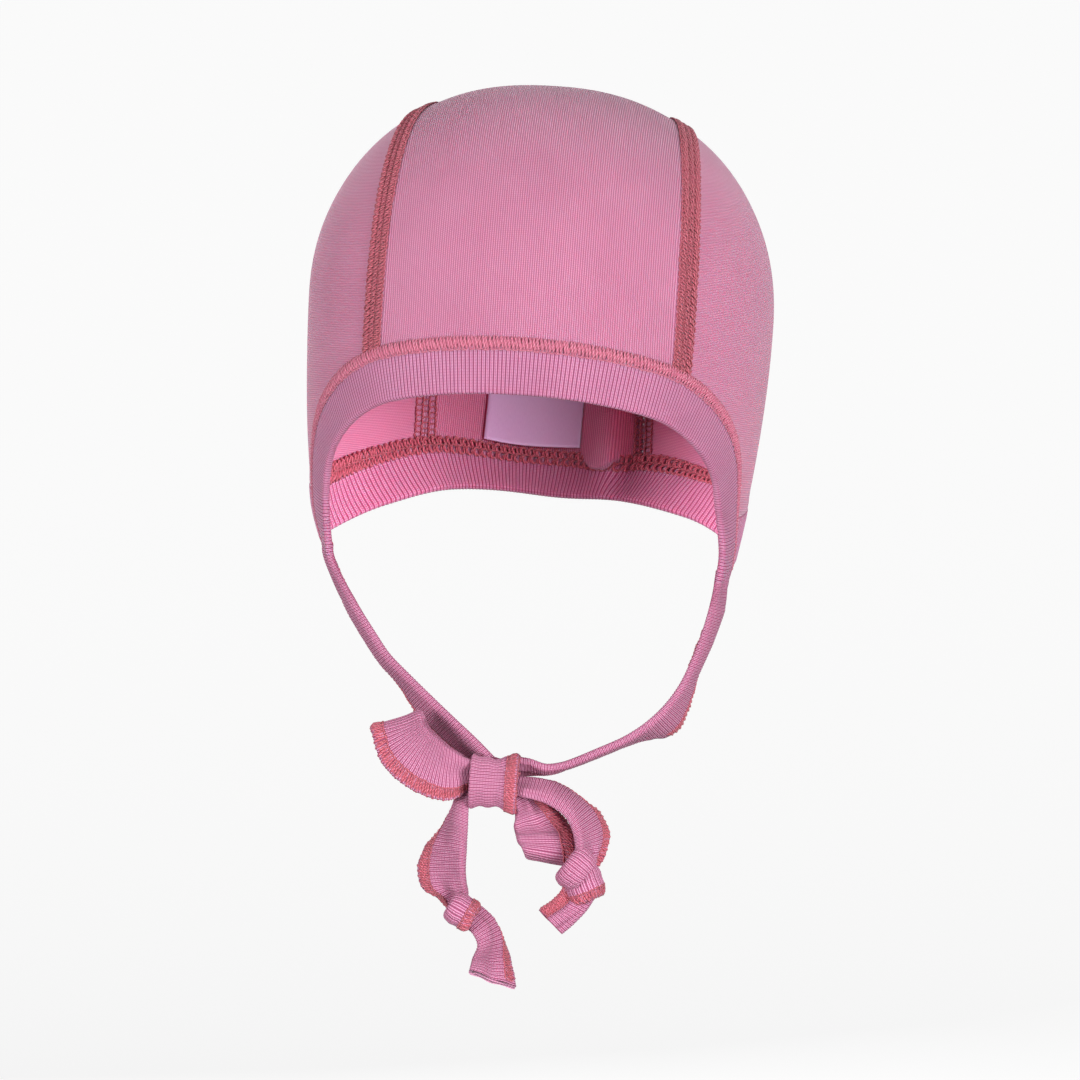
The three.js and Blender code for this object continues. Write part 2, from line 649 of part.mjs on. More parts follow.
// A bow loop runs out along its rows, turns over at the far end and comes back behind itself.
function bowLoop(rows) {
  const front = rows.map(crossingOf);
  const behind = (crossing, depth) => ({
    fold: crossing.fold.clone().add(new THREE.Vector3(0, depth, 0)),
    edge: crossing.edge.clone().add(new THREE.Vector3(0, depth, 0)),
  });
  const back = front.map((crossing) => behind(crossing, LOOP_DEPTH)).reverse();
  const last = front[front.length - 1];
  const before = front[front.length - 2];
  const turn = behind(last, LOOP_DEPTH / 2);
  const outwards = last.fold.clone().add(last.edge).sub(before.fold).sub(before.edge).normalize();
  turn.fold.addScaledVector(outwards, LOOP_DEPTH / 3);
  turn.edge.addScaledVector(outwards, LOOP_DEPTH / 3);
  return strap([...front, turn, ...back], LOOP_STEPS);
}

function tail(rows) {
  return strap(rows.map(crossingOf), STRAP_STEPS / 2);
}

function knot(rows) {
  const outlines = rows.map((row) => steps(KNOT_SIDES).slice(1).map((turn) => {
    const angle = turn * 2 * Math.PI;
    const soften = (value) => Math.sign(value) * Math.abs(value) ** KNOT_POWER;
    const y = row.y + row.halfDepth * soften(Math.cos(angle));
    const z = row.z + row.halfHeight * soften(Math.sin(angle));
    return new THREE.Vector3(row.x, y, z);
  }));
  return loft(outlines);
}

// ---------------------------------------------------------------- the assembly

const hat = new THREE.Group();

function add(name, geometry, material) {
  const mesh = new THREE.Mesh(geometry, material);
  mesh.name = name;
  hat.add(mesh);
}

add('crown_center_panel', crownCentrePanel(), JERSEY());
add('side_panel_left', sidePanel(1), JERSEY());
add('side_panel_right', sidePanel(-1), JERSEY());
add('face_band', faceBand(), RIB());
add('neck_band', neckBand(), RIB());
add('neck_label', neckLabel(), SATIN());
add('tie_left', tie(TIE_LEFT, 1), RIB());
add('tie_right', tie(TIE_RIGHT, -1), RIB());
add('bow_knot', knot(BOW_KNOT), RIB());
add('bow_loop_left', bowLoop(LOOP_LEFT), RIB());
add('bow_loop_right', bowLoop(LOOP_RIGHT), RIB());
add('tail_left', tail(TAIL_LEFT), RIB());
add('tail_right', tail(TAIL_RIGHT), RIB());
add('tail_knot_left', knot(TAIL_KNOT_LEFT), RIB());
add('tail_knot_right', knot(TAIL_KNOT_RIGHT), RIB());
add('tail_end_left', tail(TAIL_END_LEFT), RIB());
add('tail_end_right', tail(TAIL_END_RIGHT), RIB());

export default hat;
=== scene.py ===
# %% [markdown]
# # A baby's fine wool hat, tied in a bow
# The hat is a helmet of three jersey panels. Flat seams join them, a folded rib band binds the face and
# another the nape, and the face band runs on as two ties. This script gives each piece of the plain
# construction model its cloth: knitted surfaces, ribs, seams of real thread, gathers and knots.
# Lengths are in millimetres until a mesh is made. Left and right are the wearer's, and +X is left.

# %% Tools and the frame
from collections import namedtuple
from functools import partial

import bpy
import numpy as np
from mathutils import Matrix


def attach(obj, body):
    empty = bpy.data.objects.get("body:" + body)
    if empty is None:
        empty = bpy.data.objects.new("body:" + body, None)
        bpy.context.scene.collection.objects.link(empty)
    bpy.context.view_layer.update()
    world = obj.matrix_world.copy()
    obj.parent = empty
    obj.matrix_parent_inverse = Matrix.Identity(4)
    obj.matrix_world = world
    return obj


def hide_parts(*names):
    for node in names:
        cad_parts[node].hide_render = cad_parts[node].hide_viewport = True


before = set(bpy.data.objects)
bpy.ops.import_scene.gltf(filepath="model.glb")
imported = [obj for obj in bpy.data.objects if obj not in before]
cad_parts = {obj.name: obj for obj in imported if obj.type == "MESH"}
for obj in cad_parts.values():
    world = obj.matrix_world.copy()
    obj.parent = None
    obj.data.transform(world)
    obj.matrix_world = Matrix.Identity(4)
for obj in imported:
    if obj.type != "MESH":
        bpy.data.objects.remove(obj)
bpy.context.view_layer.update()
MM = 0.001

# %% [markdown]
# ## The head form
# Everything on the cap lies on one rounded form, as cloth does on a head. It could be a sculpted mesh,
# but then seams, stitches and ribs would each have to be fitted to it by hand. A formula can be asked
# for the surface at any place, so the same few sizes carry the panels, the bands and every stitch.
# Across, the form is a superellipse; it closes over the crown above its widest level and draws in below.

# %% Sizes of the head form
HEAD = dict(widest_z=-64, half_width=67, front=75, back=79, crown=65.2,
            side_taper=0.00142, front_taper=0.0004, back_taper=0.0085, plan=2.25, profile=2.15)
CENTRE = np.array([0, 0, HEAD["widest_z"]], float)
JERSEY_WALL = 1.2
RIB_WALL = 2.2
print("head form:", 2 * HEAD["half_width"], "wide and", HEAD["front"] + HEAD["back"], "deep")

# %% The form as a formula


def length(v):
    return np.sqrt((v * v).sum(-1, keepdims=True))


def unit(v):
    return v / np.maximum(length(v), 1e-9)


def smooth(value):
    """A rise from 0 to 1 that starts and ends level."""
    t = np.clip(value, 0, 1)
    return t * t * (3 - 2 * t)


def head_value(p):
    """1 on the jersey's outer face, less inside it and more outside."""
    x, y, z = np.moveaxis(p, -1, 0)
    below = np.maximum(0, HEAD["widest_z"] - z)
    above = np.maximum(0, z - HEAD["widest_z"])
    side = HEAD["half_width"] - HEAD["side_taper"] * below ** 2
    front = HEAD["front"] - HEAD["front_taper"] * below ** 2
    back = HEAD["back"] - HEAD["back_taper"] * below ** 2
    depth = np.where(y < 0, front, back)
    plan = (abs(x) / side) ** HEAD["plan"] + (abs(y) / depth) ** HEAD["plan"]
    reach = plan ** (HEAD["profile"] / HEAD["plan"])
    return (reach + (above / HEAD["crown"]) ** HEAD["profile"]) ** (1 / HEAD["profile"])


print("value at the widest place:", head_value(CENTRE + [HEAD["half_width"], 0, 0]))

# %% Places on the form
FARTHEST = 130
HALVINGS = 34


def hit_head(start, direction):
    """The first place where each ray meets the head form, found by halving."""
    near = np.zeros(direction.shape[:-1] + (1,))
    far = near + FARTHEST
    for _ in range(HALVINGS):
        middle = (near + far) / 2
        inside = head_value(start + direction * middle)[..., None] < 1
        near, far = np.where(inside, middle, near), np.where(inside, far, middle)
    return start + direction * far


def on_head(p):
    return hit_head(CENTRE, unit(p - CENTRE))


def at_angle(x, angle):
    """The head's point at x, seen at an angle round the cross axis: 0 is forward and pi / 2 up."""
    x, angle = np.broadcast_arrays(np.asarray(x, float), angle)
    start = np.stack([x, 0 * x, 0 * x + HEAD["widest_z"]], -1)
    return hit_head(start, np.stack([0 * x, -np.cos(angle), np.sin(angle)], -1))


def angle_of(p):
    angle = np.arctan2(p[..., 2] - HEAD["widest_z"], -p[..., 1])
    return np.where(angle < -np.pi / 2, angle + 2 * np.pi, angle)


print("top of the crown:", at_angle(0, np.pi / 2).round(1))

# %% [markdown]
# ## How the hat is worn
# A hat never sits quite straight. This one is rolled a few degrees to one side, and beside the nape the
# loose cloth pulls in to a soft upright pleat and hangs a little lower. Both could be sculpted in later,
# but as functions of place they move cloth, bands and stitches together, so nothing comes apart.

# %% The pleat and the drop at the nape
NAPE_FOLD = dict(x=21, half_width=5.5, depth=9, top_z=-42, full_z=-98, hem_z=-122, hem_share=0.06)
SEAM_DROP = dict(x=6, half_width=29, depth=3.3, power=3.2)
HEM_DROP = dict(x=6, half_width=14, depth=1.4, rise=3.8, rise_from=26, rise_over=30, from_z=-104, over=14)
BEHIND = 22


def fold_depth(p):
    """How far the pleat beside the nape pulls the cloth forward."""
    f = NAPE_FOLD
    grow = smooth((f["top_z"] - p[..., 2]) / (f["top_z"] - f["full_z"]))
    fade = smooth((f["full_z"] - p[..., 2]) / (f["full_z"] - f["hem_z"]))
    across = np.exp(-((p[..., 0] - f["x"]) / f["half_width"]) ** 2)
    depth = f["depth"] * grow * (1 - (1 - f["hem_share"]) * fade) * across
    return np.where(p[..., 1] < 0, 0, depth)


def nape_drop(p):
    """How far the cloth hangs down behind: the seam sags in the middle, and the hem less than the seam."""
    x, y, z = np.moveaxis(p, -1, 0)
    seam, hem = SEAM_DROP, HEM_DROP
    grow = smooth((NAPE_FOLD["top_z"] - z) / (NAPE_FOLD["top_z"] - NAPE_FOLD["full_z"]))
    at_seam = seam["depth"] * np.exp(-abs((x - seam["x"]) / seam["half_width"]) ** seam["power"])
    at_hem = hem["depth"] * np.exp(-((x - hem["x"]) / hem["half_width"]) ** 2)
    at_hem = at_hem - hem["rise"] * smooth((x - hem["rise_from"]) / hem["rise_over"])
    toward_hem = smooth((hem["from_z"] - z) / hem["over"])
    return (at_seam + (at_hem - at_seam) * toward_hem) * grow * smooth(y / BEHIND)


print("nape: pleat", NAPE_FOLD["depth"], "mm deep, seam", SEAM_DROP["depth"], "mm down in its middle")

# %% The worn place of any point
TILT = dict(degrees=4, centre_z=-80, shift_x=-0.6)
UNEVEN = dict(slow=0.22, quick=0.08)
PROBE = 0.05


def folded_value(p):
    flat = p.copy()
    flat[..., 1] += fold_depth(p)
    return head_value(flat)


def outward(p, value=folded_value):
    """The direction straight out of the worn form, from how its value changes along each axis."""
    steps = PROBE * np.eye(3)
    return unit(np.stack([value(p + s) - value(p - s) for s in steps], -1))


def tilted(p):
    turn = np.radians(TILT["degrees"])
    x, y, z = p[..., 0], p[..., 1], p[..., 2] - TILT["centre_z"]
    rolled_x = x * np.cos(turn) + z * np.sin(turn) + TILT["shift_x"]
    return np.stack([rolled_x, y, z * np.cos(turn) - x * np.sin(turn) + TILT["centre_z"]], -1)


def unevenness(p):
    """Soft hollows and swells of a fraction of a millimetre, slow and quick ones, as cloth has on a head."""
    x, y, z = np.moveaxis(p, -1, 0)
    slow = np.sin(x / 17 + z / 23 + 1) * np.sin(y / 19 - z / 31)
    quick = np.sin(x / 7 + y / 9) * np.sin(z / 8 + 2)
    return UNEVEN["slow"] * slow + UNEVEN["quick"] * quick


def worn(p, lift):
    """A point of the head form as worn, lifted off it by that much."""
    folded = p.copy()
    folded[..., 1] -= fold_depth(p)
    folded = folded + outward(folded) * (np.asarray(lift, float) + unevenness(p))[..., None]
    folded[..., 2] -= nape_drop(p)
    return tilted(folded)


print("worn form: rolled", TILT["degrees"], "degrees")

# %% [markdown]
# ## Seam lines
# A dressmaker marks seams first and cuts the panels to them. The face and nape seams are drawn through a
# few marked points by a smooth curve, mirrored from one half, and pressed on to the head form. The two
# seams over the crown swing from wide at the forehead to narrow at the nape.

# %% Smooth curves through a few points
SAMPLES = dict(curve=1200, crossing=2400, crown_seam=900, half_seam=1500, outline=400, ribs=3000)


def curve_through(rows, count=SAMPLES["curve"], closed=False):
    """Points along a smooth curve through the rows, which keeps its bends where the rows are close."""
    p = np.array(rows, float)
    if closed:
        p = np.vstack([p[-1:], p, p[:2]])
    else:
        p = np.vstack([2 * p[:1] - p[1:2], p, 2 * p[-1:] - p[-2:-1]])
    t = np.linspace(0, len(p) - 3, count)
    i = np.minimum(t.astype(int), len(p) - 4)
    t = (t - i)[:, None]
    a, b, c, d = (p[i + k] for k in range(4))
    before, here, after = (np.maximum(length(v), 1e-6) ** 0.5 for v in (b - a, c - b, d - c))
    leave = here * ((b - a) / before - (c - a) / (before + here) + (c - b) / here)
    arrive = here * ((c - b) / here - (d - b) / (here + after) + (d - c) / after)
    bend = -3 * b + 3 * c - 2 * leave - arrive
    return b + leave * t + bend * t ** 2 + (2 * b - 2 * c + leave + arrive) * t ** 3


def run_of(points):
    """How far along the line each of its points is."""
    return np.concatenate([[0], np.cumsum(length(np.diff(points, axis=0)))])


def pick(run, values, s):
    """Values read off along a line at the distances s."""
    return np.stack([np.interp(s, run, values[:, k]) for k in range(values.shape[1])], -1)


bent = curve_through([(0, 0, 0), (9, 0, 0), (9, 9, 0)])
print("a curve round one corner:", len(bent), "points,", run_of(bent)[-1].round(1), "mm")

# %% A seam as a line on the head


class Seam:
    """A line on the head form. place() gives the worn point at a distance along it, across it and above."""

    def __init__(self, points, turn=1):
        self.points = on_head(points)
        self.run = run_of(self.points)
        self.length = self.run[-1]
        self.along = unit(np.gradient(self.points, axis=0))
        self.turn = turn

    def at(self, s):
        return pick(self.run, self.points, s)

    def flat(self, s, across, lean=None, share=0):
        p, along = self.at(s), pick(self.run, self.along, s)
        side = unit(np.cross(along, outward(p, head_value))) * self.turn
        if lean is not None:
            side = unit(side * (1 - share) + lean * share)
        return on_head(p + side * np.asarray(across)[..., None])

    def place(self, s, across, up):
        return worn(self.flat(s, across), up)


def both_sides(rows):
    """A curve through rows of the left half and the same rows mirrored."""
    mirrored = [(-x, y, z) for x, y, z in rows[:0:-1]]
    return curve_through(mirrored + rows)


print("a seam drawn from two rows has", len(both_sides([(0, -70, 0), (50, -50, 0)])), "points")

# %% Where the seams run
FACE_SEAM = [(0, -75, -76.5), (25, -71, -78), (44, -61, -82.5), (55.5, -49, -91),
             (61.5, -37, -102), (62, -28, -115), (60, -23.5, -127), (58, -21, -137)]
NECK_SEAM = [(0, 66, -102.5), (32, 58, -103.5), (50, 38, -108), (60.5, 10, -114.5), (62, -8, -117.5)]
CROWN_SEAM = dict(middle=36.1, swing=7, right_flare=9)


def crown_seam_x(angle, side):
    """How far from the middle a crown seam lies. Behind the crown the right one keeps further out."""
    behind = np.maximum(0, -np.cos(angle))
    flare = np.where(np.asarray(side) < 0, CROWN_SEAM["right_flare"] * behind ** 2, 0)
    return CROWN_SEAM["middle"] + CROWN_SEAM["swing"] * np.cos(angle) + flare


def past_crown_seam(side):
    """A value that turns positive where a place is further out than the crown seam of one side."""
    return lambda p: p[..., 0] - crown_seam_x(angle_of(p), side)


def left_place(seam, value):
    """How far along a seam a value first turns positive, looking from its middle to its left end."""
    s = np.linspace(seam.length / 2, seam.length, SAMPLES["crossing"])
    return s[np.argmax(value(seam.at(s)) >= 0)]


print("on top the crown seams lie", CROWN_SEAM["middle"], "mm from the middle")

# %% Draw the seams
EAR_CORNER_Z = -120
face_seam = Seam(both_sides(FACE_SEAM))
ear_corner = left_place(face_seam, lambda p: EAR_CORNER_Z - p[..., 2])
ear_point = face_seam.at(ear_corner)
neck_seam = Seam(both_sides(NECK_SEAM + [tuple(ear_point)]), turn=-1)
face_crossing = left_place(face_seam, past_crown_seam(1))
neck_crossing = {side: left_place(neck_seam, past_crown_seam(side)) for side in (1, -1)}
face_edge = face_seam.at(face_crossing)
neck_edge = {side: neck_seam.at(place) for side, place in neck_crossing.items()}


def crown_seam(side):
    """The seam over the crown on one side of the middle, 1 for left and -1 for right."""
    angle = np.linspace(angle_of(face_edge), angle_of(neck_edge[side]), SAMPLES["crown_seam"])
    return Seam(at_angle(side * crown_seam_x(angle, side), angle), turn=side)


crown_seams = {"left": crown_seam(1), "right": crown_seam(-1)}
print("seams: face", round(face_seam.length), "neck", round(neck_seam.length),
      "crown", round(crown_seams["left"].length))

# %% [markdown]
# ## Cloth as meshes
# Cloth has two faces and an edge, so every piece is a closed skin over grids of points. A mesh could be
# drawn by hand, but a grid that is worked out keeps its rows along the knit. Each mesh also keeps where
# every point lies in the flat cloth, in millimetres, so that the loops of the knit can follow the cloth
# and not the space it hangs in.

# %% Mesh helpers
MATERIALS = {}


def grid_faces(rows, columns, first=0, around=False):
    """Quads between neighbouring rows and columns of points, joined up around the rows if asked."""
    r, c = np.meshgrid(np.arange(rows - 1), np.arange(columns - (not around)), indexing="ij")
    n = (c + 1) % columns
    quads = [r * columns + c, (r + 1) * columns + c, (r + 1) * columns + n, r * columns + n]
    return first + np.stack(quads, -1).reshape(-1, 4)


def mesh_object(name, points, faces, material):
    """A smooth-shaded mesh in the scene, from points in metres."""
    mesh = bpy.data.meshes.new(name)
    mesh.from_pydata(points.tolist(), [], [list(f) for f in faces])
    mesh.polygons.foreach_set("use_smooth", np.full(len(mesh.polygons), True))
    mesh.materials.append(material)
    piece = bpy.data.objects.new(name, mesh)
    bpy.context.scene.collection.objects.link(piece)
    return piece


def make_piece(name, points, faces, cloth_map, material, nodes=()):
    """A piece of the hat from points in millimetres, riding on it and standing for its CAD nodes."""
    piece = mesh_object(name, np.reshape(points, (-1, 3)) * MM, faces, MATERIALS[material])
    corner = np.concatenate([np.asarray(f) for f in faces])
    layer = piece.data.uv_layers.new(name="cloth")
    layer.data.foreach_set("uv", np.reshape(cloth_map, (-1, 2))[corner].astype(np.float32).ravel())
    piece.data.update()
    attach(piece, "root")
    if nodes:
        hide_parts(*nodes)
    print(name, len(piece.data.polygons), "faces")
    return piece


def sheet_area(grid):
    """The area of a grid of points, in square metres."""
    a, b = grid[1:, :-1] - grid[:-1, :-1], grid[:-1, 1:] - grid[:-1, :-1]
    return float(length(np.cross(a, b)).sum()) * MM ** 2


print("a grid of 3 by 4 points has", len(grid_faces(3, 4)), "faces")

# %% [markdown]
# ## Knit and rib as shader groups
# At this size a knitted loop is half a millimetre, too small to model over a whole cap. A shader group
# can draw it instead, from the cloth map. Loops stand in upright columns, each with two legs that lean
# towards the column's middle like a V. The group gives the height of the loops, which goes to a bump
# and also to painted shade in the gaps, and every knitted finish uses it with sizes of its own.

# %% Helpers for shader nodes


def feed(tree, socket, value):
    """Wires a socket to another one, or sets it to a plain number, vector or colour."""
    if isinstance(value, bpy.types.NodeSocket):
        tree.links.new(value, socket)
    else:
        socket.default_value = value


def add_node(tree, kind, settings=(), **inputs):
    """A shader node with its settings, its inputs fed by name. An underscore stands for a space."""
    node = tree.nodes.new("ShaderNode" + kind)
    for name, value in dict(settings).items():
        setattr(node, name, value)
    for name, value in inputs.items():
        feed(tree, node.inputs[name.replace("_", " ")], value)
    return node


def math_node(tree, operation, *values, clamp=False):
    node = add_node(tree, "Math", {"operation": operation, "use_clamp": clamp})
    for socket, value in zip(node.inputs, values):
        feed(tree, socket, value)
    return node.outputs[0]


def vector_node(tree, operation, *values):
    node = add_node(tree, "VectorMath", {"operation": operation})
    for socket, value in zip(node.inputs, values):
        feed(tree, socket, value)
    return node.outputs["Value" if operation == "DOT_PRODUCT" else "Vector"]


def new_group(name, inputs, outputs):
    """An empty shader group with its sockets, and its input and output nodes."""
    group = bpy.data.node_groups.new(name, "ShaderNodeTree")
    for label, kind, value in inputs:
        socket = group.interface.new_socket(name=label, in_out="INPUT", socket_type="NodeSocket" + kind)
        if value is not None:
            socket.default_value = value
    for label in outputs:
        group.interface.new_socket(name=label, in_out="OUTPUT", socket_type="NodeSocketFloat")
    return group, group.nodes.new("NodeGroupInput").outputs, group.nodes.new("NodeGroupOutput").inputs


print("helpers:", [helper.__name__ for helper in (feed, add_node, math_node, vector_node, new_group)])

# %% A group for knitted loops
LEG_WIDTH = 0.42


def knit_group():
    """The height of the knitted loops and the gap beside them, from a place in the flat cloth."""
    inputs = [("Cloth", "Vector", None), ("Column", "Float", 0.8), ("Course", "Float", 0.6),
              ("Lean", "Float", 0.5), ("Leg", "Float", 0.46), ("Course depth", "Float", 0.45),
              ("Valley", "Float", 0.0)]
    group, given, result = new_group("Knitted loops", inputs, ["Height", "Gap"])
    do = partial(math_node, group)

    def off_middle(share):
        return do("MULTIPLY", do("ABSOLUTE", do("SUBTRACT", share, 0.5)), 2)

    across, down, _ = add_node(group, "SeparateXYZ", Vector=given["Cloth"]).outputs
    from_middle = off_middle(do("FRACT", do("DIVIDE", across, given["Column"])))
    leaning = do("MULTIPLY", from_middle, given["Lean"])
    off_loop = off_middle(do("FRACT", do("ADD", do("DIVIDE", down, given["Course"]), leaning)))
    along_leg = do("SUBTRACT", 1, do("POWER", off_loop, 3))
    off_leg = do("DIVIDE", do("ABSOLUTE", do("SUBTRACT", from_middle, given["Leg"])), LEG_WIDTH)
    across_leg = do("SUBTRACT", 1, do("POWER", off_leg, 2), clamp=True)
    dip = do("MULTIPLY", do("SUBTRACT", 1, along_leg), given["Course depth"])
    height = do("MULTIPLY", do("SUBTRACT", 1, dip), across_leg, clamp=True)
    # Painted shade: the narrow valley between two ribs is darkened in colour, and it is sunk in the bump as
    # well.
    valley = do("MULTIPLY", do("POWER", off_middle(do("FRACT", across)), 5), given["Valley"])
    height = do("MULTIPLY", height, do("SUBTRACT", 1, valley))
    feed(group, result["Height"], height)
    feed(group, result["Gap"], do("SUBTRACT", 1, height))
    return group


KNIT = knit_group()
print("group:", KNIT.name)

# %% A group for the unevenness of dyed wool


def wool_tone_group():
    """Where the wool looks a little deeper or paler: broad clouds, and short fibres over them."""
    inputs = [("Cloud size", "Float", 60.0), ("Fibre size", "Float", 900.0)]
    group, given, result = new_group("Wool tone", inputs, ["Cloud", "Fibre"])
    place = add_node(group, "TexCoord").outputs["Object"]
    for label, detail in (("Cloud", 2.0), ("Fibre", 3.0)):
        noise = add_node(group, "TexNoise", Vector=place, Scale=given[label + " size"], Detail=detail)
        feed(group, result[label], noise.outputs["Fac"])
    return group


WOOL_TONE = wool_tone_group()
print("group:", WOOL_TONE.name)

# %% A group for the hat's hollow, where shade is painted
TURN_INWARD = -3


def hollow_side_group():
    """1 where the hat's cloth faces its hollow and takes painted shade, and 0 where it faces out or hangs
    below the hat.
    """
    inputs = [("Middle", "Vector", (0, 0, -0.07)), ("Lowest", "Float", -0.15)]
    group, given, result = new_group("Hollow side", inputs, ["Inside"])
    surface = add_node(group, "TexCoord").outputs
    away = vector_node(group, "SUBTRACT", surface["Object"], given["Middle"])
    facing = vector_node(group, "DOT_PRODUCT", vector_node(group, "NORMALIZE", away), surface["Normal"])
    height = add_node(group, "SeparateXYZ", Vector=surface["Object"]).outputs["Z"]
    high = math_node(group, "GREATER_THAN", height, given["Lowest"])
    inward = math_node(group, "MULTIPLY", facing, TURN_INWARD, clamp=True)
    feed(group, result["Inside"], math_node(group, "MULTIPLY", inward, high))
    return group


HOLLOW_SIDE = hollow_side_group()
print("group:", HOLLOW_SIDE.name)

# %% [markdown]
# ## The finishes
# Fine merino scatters light softly: it is matt, glows a little where light comes through it, and has a
# pale bloom of loose fibre at grazing angles. That bloom is the shader's sheen. The jersey and the ribs
# share one recipe with other loop sizes; the seam thread is twisted, so its bump runs round each strand;
# the label is satin, which is smooth with long floats of thread one way. One material for all of them
# would be simpler, but then the gaps between loops would be as wide in a rib as in the jersey.

# %% Parts that the finishes share
# Painted shade: cloth that faces the hollow of the hat is multiplied by this tint, a deeper pink that stands
# in for the shade and the pink bounced light inside the hat.
HOLLOW_SHADE_TINT = (1.0, 0.8, 0.88)


def use_group(tree, group, **inputs):
    return add_node(tree, "Group", {"node_tree": group}, **inputs)


def cloth_place(tree):
    """The place in the flat cloth, which every mesh keeps as its map."""
    return add_node(tree, "UVMap", {"uv_map": "cloth"}).outputs[0]


def blend(tree, share, first, second, mode="MIX"):
    """A colour between two, where share is a socket and each colour is a socket or a plain colour."""
    node = add_node(tree, "Mix", {"data_type": "RGBA", "blend_type": mode}, Factor=share)
    for socket, colour in zip(node.inputs[6:8], (first, second)):
        feed(tree, socket, (*colour, 1) if isinstance(colour, tuple) else colour)
    return node.outputs[2]


def shaded_in_hollow(tree, colour):
    """The colour as it is outside, and deeper inside the hat: painted shade and pink bounced light in the
    hollow.
    """
    return blend(tree, use_group(tree, HOLLOW_SIDE).outputs["Inside"], colour, HOLLOW_SHADE_TINT, "MULTIPLY")


def rise_to(tree, value, low, high, share=1):
    """0 below low, that share above high, and a smooth rise between them."""
    node = add_node(tree, "MapRange", {"interpolation_type": "SMOOTHSTEP"},
                    Value=value, From_Min=low, From_Max=high, To_Max=share)
    return node.outputs["Result"]


def roughen(tree, shader, value, spread, least):
    feed(tree, shader.inputs["Roughness"], math_node(tree, "MULTIPLY_ADD", value, spread, least))


def bump(tree, shader, height, depth):
    node = add_node(tree, "Bump", Height=height, Distance=depth * MM)
    feed(tree, shader.inputs["Normal"], node.outputs["Normal"])


# The tint is painted shade for the hollow, not a colour of the yarn.
print("tint of the wrong side:", HOLLOW_SHADE_TINT)

# %% A soft material
SOFT = {"Specular IOR Level": 0.25, "Sheen Roughness": 0.45, "Subsurface Radius": (1.0, 0.3, 0.42),
        "Subsurface Scale": 0.004}


def bare_material(name, even):
    """A material with its even values on the shader's own sockets."""
    material = bpy.data.materials.new(name)
    material.use_nodes = True
    shader = material.node_tree.nodes["Principled BSDF"]
    for label, value in even.items():
        shader.inputs[label].default_value = value
    return material, shader


def new_material(name, sheen, sheen_tint, through):
    """A soft material with a bloom of fibre, which lets a share of the light through."""
    own = {"Sheen Weight": sheen, "Sheen Tint": (*sheen_tint, 1), "Subsurface Weight": through}
    MATERIALS[name], shader = bare_material(name, SOFT | own)
    return MATERIALS[name].node_tree, shader


print("every cloth shares", SOFT)

# %% Knitted wool
BLOOM = (1.0, 0.8, 0.9)
FUZZ = 0.35
TONES = dict(crest=(0.45, 0.98, 0.75), cloud=(0.3, 0.75, 0.16), fibre=(0.6, 0.85), gap=(0.3, 0.95))


def knitted_wool(name, deep, middle, pale, column, course, lean, leg, loop_depth, gap_share, sheen=0.35,
                 course_depth=0.45, valley=0.0, through=0.45):
    """Wool in three tones: deep in random clouds and, as painted shade, in the gaps between loops; pale on
    some fibres and, as a painted highlight, on the loop crests.
    """
    tree, shader = new_material(name, sheen, BLOOM, through)
    knit = use_group(tree, KNIT, Cloth=cloth_place(tree), Column=column, Course=course, Lean=lean, Leg=leg,
                     Course_depth=course_depth, Valley=valley).outputs
    tone = use_group(tree, WOOL_TONE, Cloud_size=38.0, Fibre_size=1500.0).outputs
    # Painted highlight on the loop crests, and painted shade in the gaps between loops three lines below; the
    # clouds and fibres are the wool's own uneven tone.
    wool = blend(tree, rise_to(tree, knit["Height"], *TONES["crest"]), middle, pale)
    wool = blend(tree, rise_to(tree, tone["Cloud"], *TONES["cloud"]), wool, deep)
    wool = blend(tree, rise_to(tree, tone["Fibre"], *TONES["fibre"]), wool, pale)
    wool = blend(tree, rise_to(tree, knit["Gap"], *TONES["gap"], gap_share), wool, deep)
    feed(tree, shader.inputs["Base Color"], shaded_in_hollow(tree, wool))
    fuzz = math_node(tree, "MULTIPLY", tone["Fibre"], FUZZ)
    bump(tree, shader, math_node(tree, "ADD", knit["Height"], fuzz), loop_depth)
    roughen(tree, shader, tone["Fibre"], 0.12, 0.84)


knitted_wool("jersey", deep=(0.36, 0.085, 0.175), middle=(0.60, 0.215, 0.355), pale=(0.74, 0.33, 0.49),
             column=1.24, course=0.60, lean=0.35, leg=0.5, loop_depth=0.25, gap_share=0.75)
knitted_wool("side_jersey", deep=(0.38, 0.10, 0.19), middle=(0.58, 0.20, 0.335), pale=(0.70, 0.30, 0.45),
             column=0.95, course=0.62, lean=0.35, leg=0.5, loop_depth=0.14, gap_share=0.45)
knitted_wool("rib", deep=(0.17, 0.02, 0.065), middle=(0.52, 0.142, 0.28), pale=(0.80, 0.39, 0.59),
             column=1.0, course=0.8, lean=0.3, leg=0.38, loop_depth=0.22, gap_share=0.65, sheen=0.06,
             course_depth=0.25, valley=0.1)
# The ties are the face band's own cloth, but their middle tone is a little paler than the band's: painted
# light that brightens the bow, where one part of it shades another.
knitted_wool("strap_rib", deep=(0.18, 0.022, 0.073), middle=(0.57, 0.153, 0.292), pale=(0.79, 0.39, 0.577),
             column=1.0, course=0.9, lean=0.35, leg=0.42, loop_depth=0.2, gap_share=0.6, sheen=0.07,
             course_depth=0.3, valley=0.1, through=0.08)
knitted_wool("nape_rib", deep=(0.24, 0.014, 0.07), middle=(0.58, 0.165, 0.315), pale=(0.84, 0.42, 0.62),
             column=1.0, course=0.72, lean=0.12, leg=0.36, loop_depth=0.3, gap_share=0.65, sheen=0.15,
             valley=0.2)
print("knitted finishes:", list(MATERIALS))

# %% Seam thread


